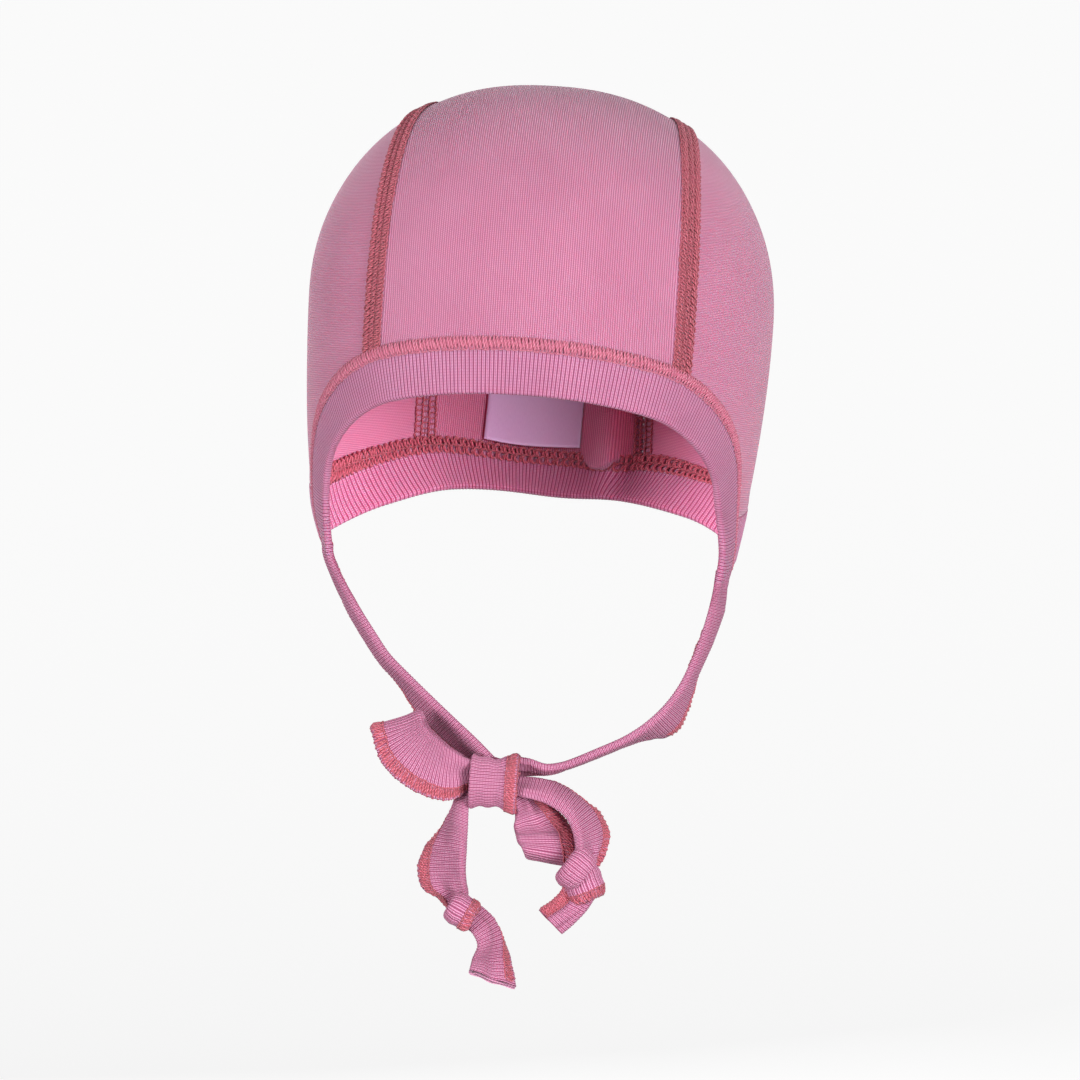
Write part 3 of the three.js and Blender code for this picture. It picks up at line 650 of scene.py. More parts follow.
def seam_thread(name, hollow, crest, shaded):
    """Soft twisted thread: plies wind round it, so a slanting wave along the cloth map is its relief, and the
    same wave paints shade in the ply hollows and a highlight on the ply crests.
    """
    tree, shader = new_material(name, 0.16, (1.0, 0.8, 0.8), 0.15)
    twist = add_node(tree, "TexWave", {"bands_direction": "DIAGONAL"}, Vector=cloth_place(tree), Scale=0.55,
                     Distortion=1.2).outputs["Fac"]
    tone = use_group(tree, WOOL_TONE, Cloud_size=260.0, Fibre_size=2200.0).outputs
    # Painted shade in the ply hollows and a painted highlight on the ply crests.
    plies = blend(tree, twist, hollow, crest)
    dyed = blend(tree, rise_to(tree, tone["Cloud"], 0.35, 0.7, 0.5), plies, shaded)
    feed(tree, shader.inputs["Base Color"], shaded_in_hollow(tree, dyed))
    bump(tree, shader, math_node(tree, "ADD", twist, tone["Fibre"]), 0.12)
    roughen(tree, shader, tone["Fibre"], 0.2, 0.7)


seam_thread("thread", hollow=(0.21, 0.033, 0.048), crest=(0.68, 0.165, 0.22), shaded=(0.46, 0.093, 0.14))
seam_thread("band_thread", hollow=(0.44, 0.09, 0.15), crest=(0.76, 0.245, 0.35), shaded=(0.55, 0.14, 0.23))
seam_thread("edge_thread", hollow=(0.38, 0.055, 0.085), crest=(0.76, 0.185, 0.25), shaded=(0.52, 0.105, 0.15))
print("finishes:", list(MATERIALS))

# %% Satin


def satin_ribbon():
    """Satin: fine floats along the ribbon, which shine in streaks."""
    tree, shader = new_material("label", 0.2, (0.95, 0.9, 1.0), 0.15)
    long_way = add_node(tree, "Mapping", Vector=cloth_place(tree), Scale=(7.0, 0.6, 1.0)).outputs[0]
    floats = add_node(tree, "TexNoise", Vector=long_way, Scale=1.0).outputs["Fac"]
    tone = use_group(tree, WOOL_TONE, Cloud_size=30.0, Fibre_size=1500.0).outputs
    threads = blend(tree, floats, (0.56, 0.30, 0.54), (0.70, 0.43, 0.67))
    clouded = blend(tree, rise_to(tree, tone["Cloud"], 0.3, 0.8), threads, (0.62, 0.39, 0.59))
    feed(tree, shader.inputs["Base Color"], clouded)
    roughen(tree, shader, floats, 0.25, 0.34)
    bump(tree, shader, floats, 0.04)


satin_ribbon()
print("finishes:", list(MATERIALS))

# %% [markdown]
# ## The three jersey panels
# Each panel is a shell 1.2 mm thick. The middle one runs from the forehead over the crown to the nape, so
# a grid of columns suits it: every column starts on the face seam and ends on the nape seam. The side
# panels have a rounded outline, so rings about the middle of the ear suit them better. Near their seams
# the panels swell a little, because flat seams are sewn through overlapping edges.

# %% Walls and swelling edges
GAP = 0.3
SEAM_SWELL = dict(up=0.3, reach=3.2, inner_share=0.5)


def seam_swell(distance):
    """How far the doubled cloth by a seam stands out, at a distance from the panel's edge."""
    return SEAM_SWELL["up"] * np.exp(-(distance / SEAM_SWELL["reach"]) ** 4)


def two_faces(sheet, swell):
    """The outer and the inner face of jersey that lies on a sheet of the head form."""
    return worn(sheet, swell), worn(sheet, swell * SEAM_SWELL["inner_share"] - JERSEY_WALL)


def walled(outer, inner, around):
    """Points and faces of a wall between two grids of the same size."""
    rows, columns = outer.shape[:2]
    count = rows * columns
    index = np.arange(count).reshape(rows, columns)
    faces = [grid_faces(rows, columns, 0, around), grid_faces(rows, columns, count, around)[:, ::-1]]
    if around:
        rim = index[-1]
        faces.append(np.stack([rim, rim + count, np.roll(rim, -1) + count, np.roll(rim, -1)], -1))
    else:
        rim = np.concatenate([index[0, :-1], index[:-1, -1], index[-1, :0:-1], index[:0:-1, 0]])
        faces.append(np.stack([rim, np.roll(rim, -1), np.roll(rim, -1) + count, rim + count], -1))
    return np.concatenate([outer.reshape(-1, 3), inner.reshape(-1, 3)]), np.concatenate(faces)


print("cloth by a seam stands out", SEAM_SWELL["up"], "mm")

# %% The middle panel, with a lobe of loose cloth at the nape
LOBE = dict(x=17.0, half_width=5.2, power=2.6, above_seam=5, height=18, forward=8, droop=5.5)


def seam_angle(seam, x):
    """The angle round the head where a seam's left half reaches each x."""
    p = seam.at(np.linspace(seam.length / 2, seam.length, SAMPLES["half_seam"]))
    return np.interp(abs(x), np.maximum.accumulate(p[:, 0]), angle_of(p))


def lobe(sheet, above_seam):
    """How the loose cloth above the nape seam bulges forward and droops over it in one round lobe."""
    across = np.exp(-abs((sheet[..., 0] - LOBE["x"]) / LOBE["half_width"]) ** LOBE["power"])
    rise = np.clip(above_seam / LOBE["above_seam"], 0, 1)
    fade = smooth((LOBE["height"] * 2 - above_seam) / LOBE["height"])
    forward = LOBE["forward"] * smooth(rise) * fade * across
    droop = LOBE["droop"] * np.sin(np.pi * rise / 2) * smooth(fade) ** 3 * across
    return np.stack([0 * across, -forward, -droop], -1)


def crown_panel(columns=136, rows=180):
    share = np.linspace(-1, 1, columns) * (1 - GAP / 2 / CROWN_SEAM["middle"])
    side = np.where(share < 0, -1, 1)
    neck_x = np.where(share < 0, neck_edge[-1][0], neck_edge[1][0])
    start = seam_angle(face_seam, share * face_edge[0]) + GAP / 2 / HEAD["front"]
    end = seam_angle(neck_seam, share * neck_x) - GAP / 2 / HEAD["front"]
    down = np.linspace(0, 1, rows)[:, None]
    angle = start + (end - start) * down
    half_width = crown_seam_x(angle, side)
    sheet = at_angle(share * half_width, angle)
    run = np.cumsum(length(np.diff(sheet, axis=0, prepend=sheet[:1]))[..., 0], axis=0)
    to_neck = run[-1] - run
    edge = np.minimum((1 - abs(share)) * half_width, np.minimum(run, to_neck))
    outer, inner = (face + lobe(sheet, to_neck) for face in two_faces(sheet, seam_swell(edge)))
    points, faces = walled(outer, inner, around=False)
    cloth = np.stack([share * half_width, run - run[rows // 2]], -1)
    panel = make_piece("crown_panel", points, faces[:, ::-1], [cloth, cloth], "jersey",
                       ["crown_center_panel"])
    cut = (2 * CROWN_SEAM["middle"] + 2 * CROWN_SEAM["swing"], float(run[-1].max()))
    return panel, sheet_area(outer), cut


crown, crown_area, crown_cut = crown_panel()
print("crown panel:", round(crown_area * 1e4), "square centimetres, cut", [round(c) for c in crown_cut])

# %% The side panels
EAR_RADIUS = 66


def side_outline(side):
    """The outline of a side panel: down its crown seam, along the nape seam and back up the face seam."""
    crown_edge = crown_seams["left" if side > 0 else "right"].points * [side, 1, 1]
    face = face_seam.at(np.linspace(ear_corner, face_crossing, SAMPLES["outline"]))
    neck = neck_seam.at(np.linspace(neck_crossing[side], neck_seam.length, SAMPLES["outline"]))
    outline = np.concatenate([crown_edge, neck[1:], face[1:-1], crown_edge[:1]])
    return outline * [side, 1, 1]


def side_panel(name, side, node, sides=170, rings=38):
    """Rings of points round the ear, spread like the spokes of a wheel from the middle to the outline."""
    loop = side_outline(side)
    run = run_of(loop)
    outline = pick(run, loop, np.arange(sides) * run[-1] / sides)
    hub = np.array([side, 0, 0], float)
    toward = unit(outline - CENTRE)
    radius = length(outline - CENTRE)[:, 0]
    angle = np.arccos(toward @ hub)
    reach = np.linspace(0, 1, rings)[1:, None] * (angle - GAP / 2 / radius)
    away = unit(toward - hub * np.cos(angle)[:, None])
    sheet = hit_head(CENTRE, hub * np.cos(reach)[..., None] + away * np.sin(reach)[..., None])
    outer, inner = two_faces(sheet, seam_swell((1 - reach / angle) * radius * angle))
    points, faces = walled(outer, inner, around=True)
    middle = hit_head(CENTRE, hub[None])
    count, first = sides * (rings - 1), len(points)
    points = np.concatenate([points, worn(middle, 0.0), worn(middle, -JERSEY_WALL)])
    ring = np.arange(sides)
    fan = [np.stack([ring * 0 + first, ring, np.roll(ring, -1)], -1),
           np.stack([ring * 0 + first + 1, np.roll(ring, -1) + count, ring + count], -1)]
    around = np.arctan2(away[:, 2], away[:, 1])
    cloth = EAR_RADIUS * np.stack([reach * np.sin(around), reach * np.cos(around)], -1).reshape(-1, 2)
    cloth = np.concatenate([cloth, cloth, np.zeros((2, 2))])
    all_faces = [face[::side] for face in (*faces, *fan[0], *fan[1])]
    return make_piece(name, points, all_faces, cloth, "side_jersey", [node]), sheet_area(outer)


side_panels = [side_panel("side_left", 1, "side_panel_left"),
               side_panel("side_right", -1, "side_panel_right")]
print("side panels:", [round(area * 1e4) for _, area in side_panels], "square centimetres")

# %% [markdown]
# ## Folded rib bands
# A band is a strip of rib folded lengthwise: two layers, open along the seam and round at the fold. Its
# ribs are real relief, because they give the bands their scalloped edge and catch the light. The strip
# is swept along its seam: one closed cross-section, repeated at every station, pushed in and out by
# the rib's wave. The slit between the layers is part of the section, so the cloth has its true area.

# %% A folded section
SLIT = dict(half_gap=0.08, stops=(0, 0.5, 0.94))
FOLD_STEPS = 9
BOUND_FADE = 2.2
CREST_POWER = 0.6


def rib_wave(phase):
    """1 on the crest of a rib and 0 in the narrow valley beside it."""
    return abs(np.sin(np.pi * phase)) ** CREST_POWER


def folded_section(width, wall, across_steps, bulb=1.0, bound=0.0):
    """A folded strip's section: rows of (across, up, rib across, rib up), from the open edge round."""
    half = wall / 2
    round_up = half * bulb
    flat = np.linspace(0, width - round_up, across_steps)
    up = half + (round_up - half) * smooth((flat - (width - 4 * round_up)) / (3 * round_up))
    turn = np.linspace(90, -90, FOLD_STEPS)[1:-1] * np.pi / 180
    slit = np.array(SLIT["stops"]) * (width - round_up)
    grip = smooth((flat - bound) / BOUND_FADE)
    front = np.stack([flat, up, 0 * flat, grip], -1)
    fold = np.stack([width - round_up + round_up * np.cos(turn), round_up * np.sin(turn),
                     np.cos(turn), np.sin(turn)], -1)
    back = front[::-1] * [1, -1, 1, -1]
    inside = np.stack([slit, 0 * slit - SLIT["half_gap"], 0 * slit, 0 * slit], -1)
    outside = np.stack([slit[::-1], 0 * slit + SLIT["half_gap"], 0 * slit, 0 * slit], -1)
    return np.concatenate([front, fold, back, inside, outside])


print("a folded section has", len(folded_section(14, RIB_WALL, 13)), "points")

# %% Sweep a section into ribbed cloth
RIB_DRIFT = [(0.18, 9.7, 0), (0.1, 4.1, 1)]


def swept(place, stations, section, phase, relief):
    """The grid of points of a section swept through stations, where place(s, across, up) is the cloth."""
    wave = (rib_wave(phase) - 0.5)[:, None] * relief
    across = section[:, 0] + wave * section[:, 2]
    up = section[:, 1] + wave * section[:, 3]
    return place(np.broadcast_to(stations[:, None], across.shape), across, up)


def capped(grid):
    """Faces of a swept section, joined around it, with its two ends filled."""
    rows, columns = grid.shape[:2]
    ends = [np.arange(columns)[::-1], (rows - 1) * columns + np.arange(columns)]
    return [*grid_faces(rows, columns, around=True), *ends]


def stations_along(run_length, middle_rib, end_rib, start=0.0, per_rib=6):
    """Distances along a strip, so many to a rib, and the rib's phase at each.

    The ribs change from one pitch in the middle to another at the ends, and are never quite regular."""
    fine = np.linspace(start, run_length, SAMPLES["ribs"])
    from_middle = abs(2 * fine / run_length - 1)
    pitch = middle_rib + (end_rib - middle_rib) * smooth(from_middle)
    phase = np.cumsum(np.gradient(fine) / pitch)
    for size, reach, shift in RIB_DRIFT:
        phase = phase + size * np.sin(fine / reach + shift)
    places = np.linspace(phase[0], phase[-1], int((phase[-1] - phase[0]) * per_rib))
    return np.interp(places, phase, fine), places


def ribbed(name, nodes, finish, place, stations, phase, section, relief):
    """A strip of ribbed cloth, whose map counts ribs along it and millimetres across it."""
    grid = swept(place, stations, section, phase, relief)
    cloth = np.stack(np.broadcast_arrays(phase[:, None], section[:, 0]), -1)
    return make_piece(name, grid, capped(grid), cloth, finish, nodes)


print("100 mm of rib has", round(float(np.ptp(stations_along(100, 1.15, 1.15)[1]))), "ribs")

# %% Where the bands lie
FACE_BAND = dict(width=14, middle_rib=1.15, end_rib=1.0, relief=0.1)
NECK_BAND = dict(width=16, middle_rib=1.15, end_rib=3.2, relief=0.21)
RIB_OUTER = (RIB_WALL - JERSEY_WALL) / 2
RIB_MIDDLE = RIB_OUTER - RIB_WALL / 2
NECK_LEAN_SHARE = 0.12
EAR_SWING = dict(from_z=-118, over=20, left=(1.5, 3.1), right=(2.4, 0.2))


def low_by_ear(p):
    return smooth((EAR_SWING["from_z"] - p[..., 2]) / EAR_SWING["over"])


def face_place(s, across, up):
    """The worn place on the face band. Towards the ears the band swings a little to the wearer's left."""
    p = face_seam.place(s, across, up)
    grow = low_by_ear(p)
    on_left = s > face_seam.length / 2
    at_seam, at_fold = (np.where(on_left, EAR_SWING["left"][k], EAR_SWING["right"][k]) for k in (0, 1))
    p[..., 0] += grow * (at_seam + (at_fold - at_seam) * np.clip(across / FACE_BAND["width"], 0, 1))
    return p


def neck_lean(s):
    """How far the neck band's ribs lean over towards the face seam near its two ends."""
    lean = unit(face_seam.at(face_seam.length) - ear_point)
    sign = np.where(s < neck_seam.length / 2, -1, 1)[..., None]
    share = 1 - smooth(np.minimum(s, neck_seam.length - s) / neck_seam.length / NECK_LEAN_SHARE)
    return lean * np.concatenate([sign, 1 + 0 * sign, 1 + 0 * sign], -1), share[..., None]


def neck_place(s, across, up):
    p = worn(neck_seam.flat(s, across + GAP / 2, *neck_lean(s)), up + RIB_MIDDLE)
    p[..., 0] += np.where(p[..., 0] < 0, EAR_SWING["right"][0] * low_by_ear(p), 0)
    return p


print("by the ears the face band swings up to", max(EAR_SWING["left"] + EAR_SWING["right"]), "mm")

# %% Make the two bands


def band(name, node, finish, sizes, place, across_steps, run_length, start=0.0, per_rib=6):
    """A folded band along a seam, and the size that it is cut to."""
    stations, phase = stations_along(run_length - start, sizes["middle_rib"], sizes["end_rib"], start,
                                     per_rib)
    section = folded_section(sizes["width"], RIB_WALL, across_steps)
    piece = ribbed(name, [node], finish, place, stations, phase, section, sizes["relief"])
    return piece, (2 * sizes["width"], run_length)


def off_seam(s, across, up):
    """The face band's cloth starts a little off its seam, and lies under its own outer face."""
    return face_place(s, across + GAP / 2, up + RIB_MIDDLE)


face_binding, face_cut = band("face_binding", "face_band", "rib", FACE_BAND, off_seam, 13, face_seam.length,
                              per_rib=5)
nape_binding, nape_cut = band("nape_binding", "neck_band", "nape_rib", NECK_BAND, neck_place, 14,
                              neck_seam.length, start=GAP)
print("bands: cut", [round(c) for c in face_cut], "and", [round(c) for c in nape_cut], "mm")

# %% [markdown]
# ## The label
# A bare satin label is caught in the nape seam by its lower edge and stands up against the inside of the
# crown panel. It is a thin shell between two angles round the head, like the panel behind it, but
# slightly bowed, because a woven ribbon is stiffer than jersey.

# %% Nape label
LABEL = dict(from_x=-19, to_x=12, height=34, above_seam=2.0, slant=0.05, off_cloth=1.5, thick=0.5,
             bow=0.5, top_lean=0.3)


def nape_label(columns=28, rows=30):
    seam = seam_angle(neck_seam, 0.0) - LABEL["above_seam"] / HEAD["back"]
    down = np.linspace(-LABEL["height"] / HEAD["back"], 0, rows)[:, None] + seam
    x = np.linspace(LABEL["from_x"], LABEL["to_x"], columns)
    sheet = at_angle(x, down - LABEL["slant"] * (x - x[0]) / HEAD["back"])
    bow = LABEL["bow"] * np.sin(np.linspace(0, np.pi, columns))
    near = JERSEY_WALL + LABEL["off_cloth"] + bow + LABEL["top_lean"] * np.linspace(1, 0, rows)[:, None]
    points, faces = walled(worn(sheet, -near), worn(sheet, -near - LABEL["thick"]), around=False)
    height = np.linspace(0, LABEL["height"], rows)[:, None]
    cloth = np.stack(np.broadcast_arrays(x, height), -1)
    return make_piece("nape_label", points, faces[:, ::-1], [cloth, cloth], "label", ["neck_label"])


label = nape_label()
print("label:", LABEL["to_x"] - LABEL["from_x"], "by", LABEL["height"], "mm")

# %% [markdown]
# ## Thread
# Seams could be painted on as a bump, but the flat seams here are the boldest thing on the hat: raised
# braids of soft thread. So each visible length of thread is a small tube. A stitch is a short table of
# the places that the thread passes, along and across the seam and above the cloth, and it is repeated
# at every step. All tubes of a seam are made together in one array.

# %% Tubes of thread
TAPER = dict(end=0.55, power=0.5)
PLY_SHIFT = 1.7


def through_places(places, count):
    """Smooth points through each strand's few places: (strands, places, 3) becomes (strands, count, 3)."""
    strands, n, _ = places.shape
    padded = np.concatenate([2 * places[:, :1] - places[:, 1:2], places,
                             2 * places[:, -1:] - places[:, -2:-1]], 1)
    t = np.linspace(0, n - 1, count)
    i = np.minimum(t.astype(int), n - 2)
    t = (t - i)[None, :, None]
    a, b, c, d = (padded[:, i + k] for k in range(4))
    return 0.5 * (2 * b + (c - a) * t + (2 * a - 5 * b + 4 * c - d) * t ** 2
                  + (3 * b - a - 3 * c + d) * t ** 3)


def thread_tubes(lines, out, radius, sides=5):
    """Tubes round many lines at once. out is the way out of the cloth at each point."""
    strands, count, _ = lines.shape
    along = unit(np.gradient(lines, axis=1))
    side = unit(np.cross(along, out))
    up = np.cross(side, along)
    round_off = np.sin(np.linspace(0, np.pi, count)) ** TAPER["power"]
    taper = TAPER["end"] + (1 - TAPER["end"]) * round_off
    turn = np.arange(sides) * 2 * np.pi / sides
    ring = side[:, :, None] * np.cos(turn)[:, None] + up[:, :, None] * np.sin(turn)[:, None]
    points = lines[:, :, None] + ring * (radius * taper)[:, None, None]
    face = grid_faces(count, sides, around=True)
    faces = (np.arange(strands)[:, None, None] * count * sides + face).reshape(-1, 4)
    run = np.cumsum(length(np.diff(lines, axis=1, prepend=lines[:, :1])), axis=1)
    start = np.arange(strands)[:, None, None] * PLY_SHIFT
    cloth = np.stack(np.broadcast_arrays(run + start, turn / 2), -1)
    return points.reshape(-1, 3), faces, cloth.reshape(-1, 2)


print("a straight strand of three places gets", through_places(np.zeros((1, 3, 3)), 6).shape[1], "points")

# %% Thread sewn along a cloth
RNG = np.random.default_rng(7)
JITTER = dict(along=0.04, across=0.06)
LIFT = 0.5
Strand = namedtuple("Strand", "radius way")


def sewn(name, place, starts, step, strands, count=6, finish="thread"):
    """Every strand of the stitch at every start, each a little off its place."""
    parts, first = [], 0
    for strand in strands:
        way = np.array(strand.way, float)
        s = starts[:, None] + way[:, 0] * step + RNG.normal(0, JITTER["along"] * step, (len(starts), 1))
        across = np.broadcast_to(way[:, 1], s.shape) + RNG.normal(0, JITTER["across"], (len(starts), 1))
        up = np.broadcast_to(way[:, 2], s.shape)
        lines = through_places(place(s, across, up), count)
        out = unit(through_places(place(s, across, up + LIFT), count) - lines)
        points, faces, cloth = thread_tubes(lines, out, strand.radius)
        parts.append((points, faces + first, cloth))
        first += len(points)
    points, faces, cloth = (np.concatenate(p) for p in zip(*parts))
    return make_piece(name, points, faces, cloth, finish)


print("stitches stray by", JITTER["across"], "mm")

# %% [markdown]
# ## The flat seams over the crown
# A flat seamer has four needles. It lays four lines of short stitches and covers them with looped thread
# that crosses from line to line, so the seam is a flat braid about 6 mm wide. Outside, bold slanting
# strands fill the side next to the middle panel. Inside, the four lines show with ladders between them.

# %% Crown seam stitches
INSIDE_NEEDLES = (-3.4, -1.2, 1.2, 3.4)
CROWN_STEP = 1.9
CROWN_THREAD = dict(first=0.5, spare_steps=1.5, raised=0.8, sunk=0.1)
OUTSIDE_BRAID = [
    Strand(0.42, [(0, 3.0, 0.0), (0.3, 2.5, 0.55), (0.7, 1.5, 0.6), (1.0, 0.85, 0.1)]),
    Strand(0.34, [(0.5, 3.0, 0.0), (0.8, 2.4, 0.45), (1.15, 1.5, 0.5), (1.5, 0.85, 0.05)]),
    Strand(0.34, [(0.1, 1.0, 0.05), (0.35, 0.5, 0.5), (0.7, -0.35, 0.5), (0.95, -1.0, 0.05)]),
    Strand(0.32, [(0.6, 1.0, 0.05), (0.8, 0.5, 0.42), (1.1, -0.3, 0.42), (1.4, -1.0, 0.05)]),
    Strand(0.32, [(0.3, -1.0, 0.05), (0.5, -0.3, 0.3), (0.8, 0.4, 0.3), (1.1, 1.0, 0.05)]),
    Strand(0.34, [(0, -0.9, 0.05), (0.25, -1.5, 0.48), (0.5, -2.3, 0.48), (0.75, -3.0, 0.0)]),
    Strand(0.34, [(0.5, -0.9, 0.05), (0.72, -1.5, 0.42), (0.95, -2.3, 0.42), (1.2, -3.0, 0.0)]),
    Strand(0.28, [(0.2, -3.0, 0.0), (0.45, -2.4, 0.3), (0.8, -1.6, 0.3), (1.1, -1.0, 0.0)]),
    Strand(0.28, [(0.05, -2.95, 0.0), (0.35, -3.2, 0.3), (0.75, -3.2, 0.3), (1.0, -2.9, 0.0)]),
    Strand(0.28, [(0.1, 2.95, 0.0), (0.4, 3.2, 0.3), (0.8, 3.2, 0.3), (1.05, 2.9, 0.0)]),
]
FILLING = [Strand(0.75, [(-0.2, a, -0.55), (0.4, a, -0.4), (1.2, a, -0.55)]) for a in (-2.3, -0.8, 0.8, 2.3)]
INSIDE_LADDER = [Strand(0.36, [(0.05, a, 0.0), (0.35, a + 0.15, 0.5), (0.75, a - 0.15, 0.5), (1.02, a, 0.0)])
                 for a in INSIDE_NEEDLES]
INSIDE_LADDER += [Strand(0.3, [(0.1 + k * 0.1, a, 0.02), (0.4 + k * 0.1, (a + b) / 2, 0.35), (0.6, b, 0.02)])
                  for k, (a, b) in enumerate(zip(INSIDE_NEEDLES, INSIDE_NEEDLES[1:]))]


def inner_side(place, wall):
    """The same seam from inside the hat: above the cloth is towards the head."""
    return lambda s, across, up: place(s, across, -wall - up)


def crown_stitches(name, seam):
    """The thread of one crown seam, outside and inside."""
    last = seam.length - CROWN_THREAD["spare_steps"] * CROWN_STEP
    starts = np.arange(CROWN_THREAD["first"], last, CROWN_STEP)

    def raised(s, across, up):
        return seam.place(s, across, up + SEAM_SWELL["up"] * CROWN_THREAD["raised"])

    within = inner_side(seam.place, JERSEY_WALL - CROWN_THREAD["sunk"])
    return [sewn(f"crown_seam_{name}", raised, starts, CROWN_STEP, OUTSIDE_BRAID + FILLING),
            sewn(f"crown_seam_{name}_inside", within, starts, CROWN_STEP, INSIDE_LADDER)]


crown_sewing = [piece for name, seam in crown_seams.items() for piece in crown_stitches(name, seam)]
print("crown seams:", len(OUTSIDE_BRAID), "strands to a stitch outside,", len(INSIDE_LADDER), "inside")

# %% [markdown]
# ## The seams of the bands
# The bands are joined by a narrower seam whose thread runs to and fro across the join in slanting pairs.
# Inside, two rows of loops hold it. Both are the same sewing as before with other tables.

# %% Stitches of the bands
ZIGZAG = [
    Strand(0.46, [(0.36, 1.8, 0.0), (0.28, 1.0, 0.55), (0.1, -0.7, 0.55), (0.0, -1.75, 0.0)]),
    Strand(0.34, [(0.36, 1.75, 0.05), (0.42, 0.8, 0.4), (0.5, -0.7, 0.4), (0.52, -1.75, 0.05)]),
    Strand(0.44, [(0.84, 1.75, 0.0), (0.76, 0.9, 0.52), (0.6, -0.7, 0.52), (0.5, -1.7, 0.0)]),
    Strand(0.32, [(0.84, 1.7, 0.05), (0.9, 0.7, 0.35), (0.97, -0.7, 0.35), (1.0, -1.7, 0.05)]),
    Strand(0.26, [(0.0, 1.75, 0.05), (0.3, 1.95, 0.4), (0.7, 1.95, 0.4), (1.05, 1.75, 0.05)]),
]
LOOP_ROWS = [
    Strand(0.38, [(0.0, -0.2, 0.0), (0.12, -1.0, 0.55), (0.3, -1.9, 0.5), (0.48, -2.3, 0.0)]),
    Strand(0.36, [(0.5, -2.3, 0.0), (0.62, -1.6, 0.5), (0.8, -0.8, 0.5), (0.95, -0.2, 0.0)]),
    Strand(0.38, [(0.05, 2.3, 0.0), (0.2, 1.7, 0.55), (0.38, 0.8, 0.5), (0.5, 0.2, 0.0)]),
    Strand(0.34, [(0.52, 0.2, 0.0), (0.7, 0.9, 0.5), (0.85, 1.7, 0.5), (1.0, 2.3, 0.0)]),
    Strand(0.28, [(0.0, 0.0, 0.05), (0.35, 0.2, 0.35), (0.7, -0.1, 0.35), (1.0, 0.0, 0.05)]),
]
BOLD_LOOPS = [
    Strand(0.52, [(0.3, 0.1, 0.0), (0.1, -0.6, 0.7), (0.0, -1.7, 0.8), (0.3, -2.7, 0.3), (0.6, -2.1, 0.0)]),
    Strand(0.42, [(0.7, -2.6, 0.0), (0.62, -1.7, 0.5), (0.68, -0.8, 0.45), (0.9, -0.1, 0.0)]),
    Strand(0.52, [(0.6, 0.0, 0.0), (0.35, 0.7, 0.65), (0.3, 1.8, 0.75), (0.6, 2.7, 0.3), (0.9, 2.1, 0.0)]),
    Strand(0.4, [(0.1, 2.6, 0.0), (0.0, 1.8, 0.45), (0.05, 0.9, 0.4), (0.2, 0.2, 0.0)]),
    Strand(0.36, [(0.0, 0.0, 0.05), (0.35, 0.25, 0.45), (0.7, -0.15, 0.45), (1.05, 0.0, 0.05)]),
]
print("strands to a stitch:", len(ZIGZAG), "zigzag,", len(LOOP_ROWS), "loops,", len(BOLD_LOOPS), "bold loops")

# %% Face and nape seams
FACE_STEP, NAPE_STEP, INSIDE_STEP = 2.0, 2.2, 2.6
SEAM_END = dict(reach=38, fade=12, least=0.35)
EAR_THREAD = dict(share=0.22, fade=55)
MARGIN = dict(face=(1, 2), inside=(3, 4))
face_starts = np.arange(MARGIN["face"][0], face_seam.length - MARGIN["face"][1], FACE_STEP)
nape_starts = np.arange(SEAM_END["reach"], neck_seam.length - SEAM_END["reach"], NAPE_STEP)
inner_starts = np.arange(MARGIN["inside"][0], neck_seam.length - MARGIN["inside"][1], INSIDE_STEP)


def on_nape_seam(s, across, up):
    """The nape seam's stitches draw in and lie flatter where they stop short of its two ends."""
    inward = np.minimum(s, neck_seam.length - s) - SEAM_END["reach"]
    share = smooth(inward / SEAM_END["fade"] + SEAM_END["least"])
    return neck_seam.place(s, across * share, (up + SEAM_SWELL["up"]) * share)


def on_face_seam(s, across, up):
    """The face seam's stitches are narrower and flatter by the ears."""
    inward = smooth(np.minimum(s, face_seam.length - s) / EAR_THREAD["fade"])
    share = EAR_THREAD["share"] + (1 - EAR_THREAD["share"]) * inward
    return face_place(s, across * share, up * share + SEAM_SWELL["up"])


in_face_seam = inner_side(face_place, RIB_WALL - RIB_OUTER)
in_nape_seam = inner_side(neck_seam.place, RIB_WALL - RIB_OUTER)
face_sewing = [sewn("face_seam", on_face_seam, face_starts, FACE_STEP, ZIGZAG, finish="band_thread"),
               sewn("face_seam_inside", in_face_seam, face_starts, FACE_STEP, LOOP_ROWS)]
nape_sewing = [sewn("nape_seam", on_nape_seam, nape_starts, NAPE_STEP, LOOP_ROWS),
               sewn("nape_seam_inside", in_nape_seam, inner_starts, INSIDE_STEP, BOLD_LOOPS, count=9)]
print("seams sewn:", len(crown_sewing) + len(face_sewing) + len(nape_sewing))

# %% [markdown]
# ## Ties, loops and tails
# The ties are the same folded rib, off the head. A strap has no form under it, so its places are listed:
# each row of a table is one crossing of the strap, with the place of its folded edge, the place of its
# stitched edge seen from the front, and how wide it is gathered there. The stitched edge lies behind
# the folded one by what is left of the width, and camber rolls the strap round over it, as a share of
# the width. Where a strap is narrower than its cut, the spare cloth stands in ripples. Cloth simulation
# could tie a real knot, but it would never lie in this very place.

# %% Crossings, listed one by one
STRAP_WIDTH = 15.5
Crossing = namedtuple("Crossing", "fold_x fold_y fold_z edge_x edge_z width camber",
                      defaults=[STRAP_WIDTH, 0.05])


def edges_of(rows):
    """The folded edge, the stitched edge and the cambers of a table of crossings."""
    rows = [Crossing(*row) for row in rows]
    folds, edges = [], []
    for r in rows:
        in_view = (r.edge_x - r.fold_x) ** 2 + (r.edge_z - r.fold_z) ** 2
        back = max(0.0, r.width ** 2 - in_view) ** 0.5
        folds.append((r.fold_x, r.fold_y, r.fold_z))
        edges.append((r.edge_x, r.fold_y + back, r.edge_z))
    return folds, edges, [r.camber for r in rows]


print("a crossing has", Crossing._fields)

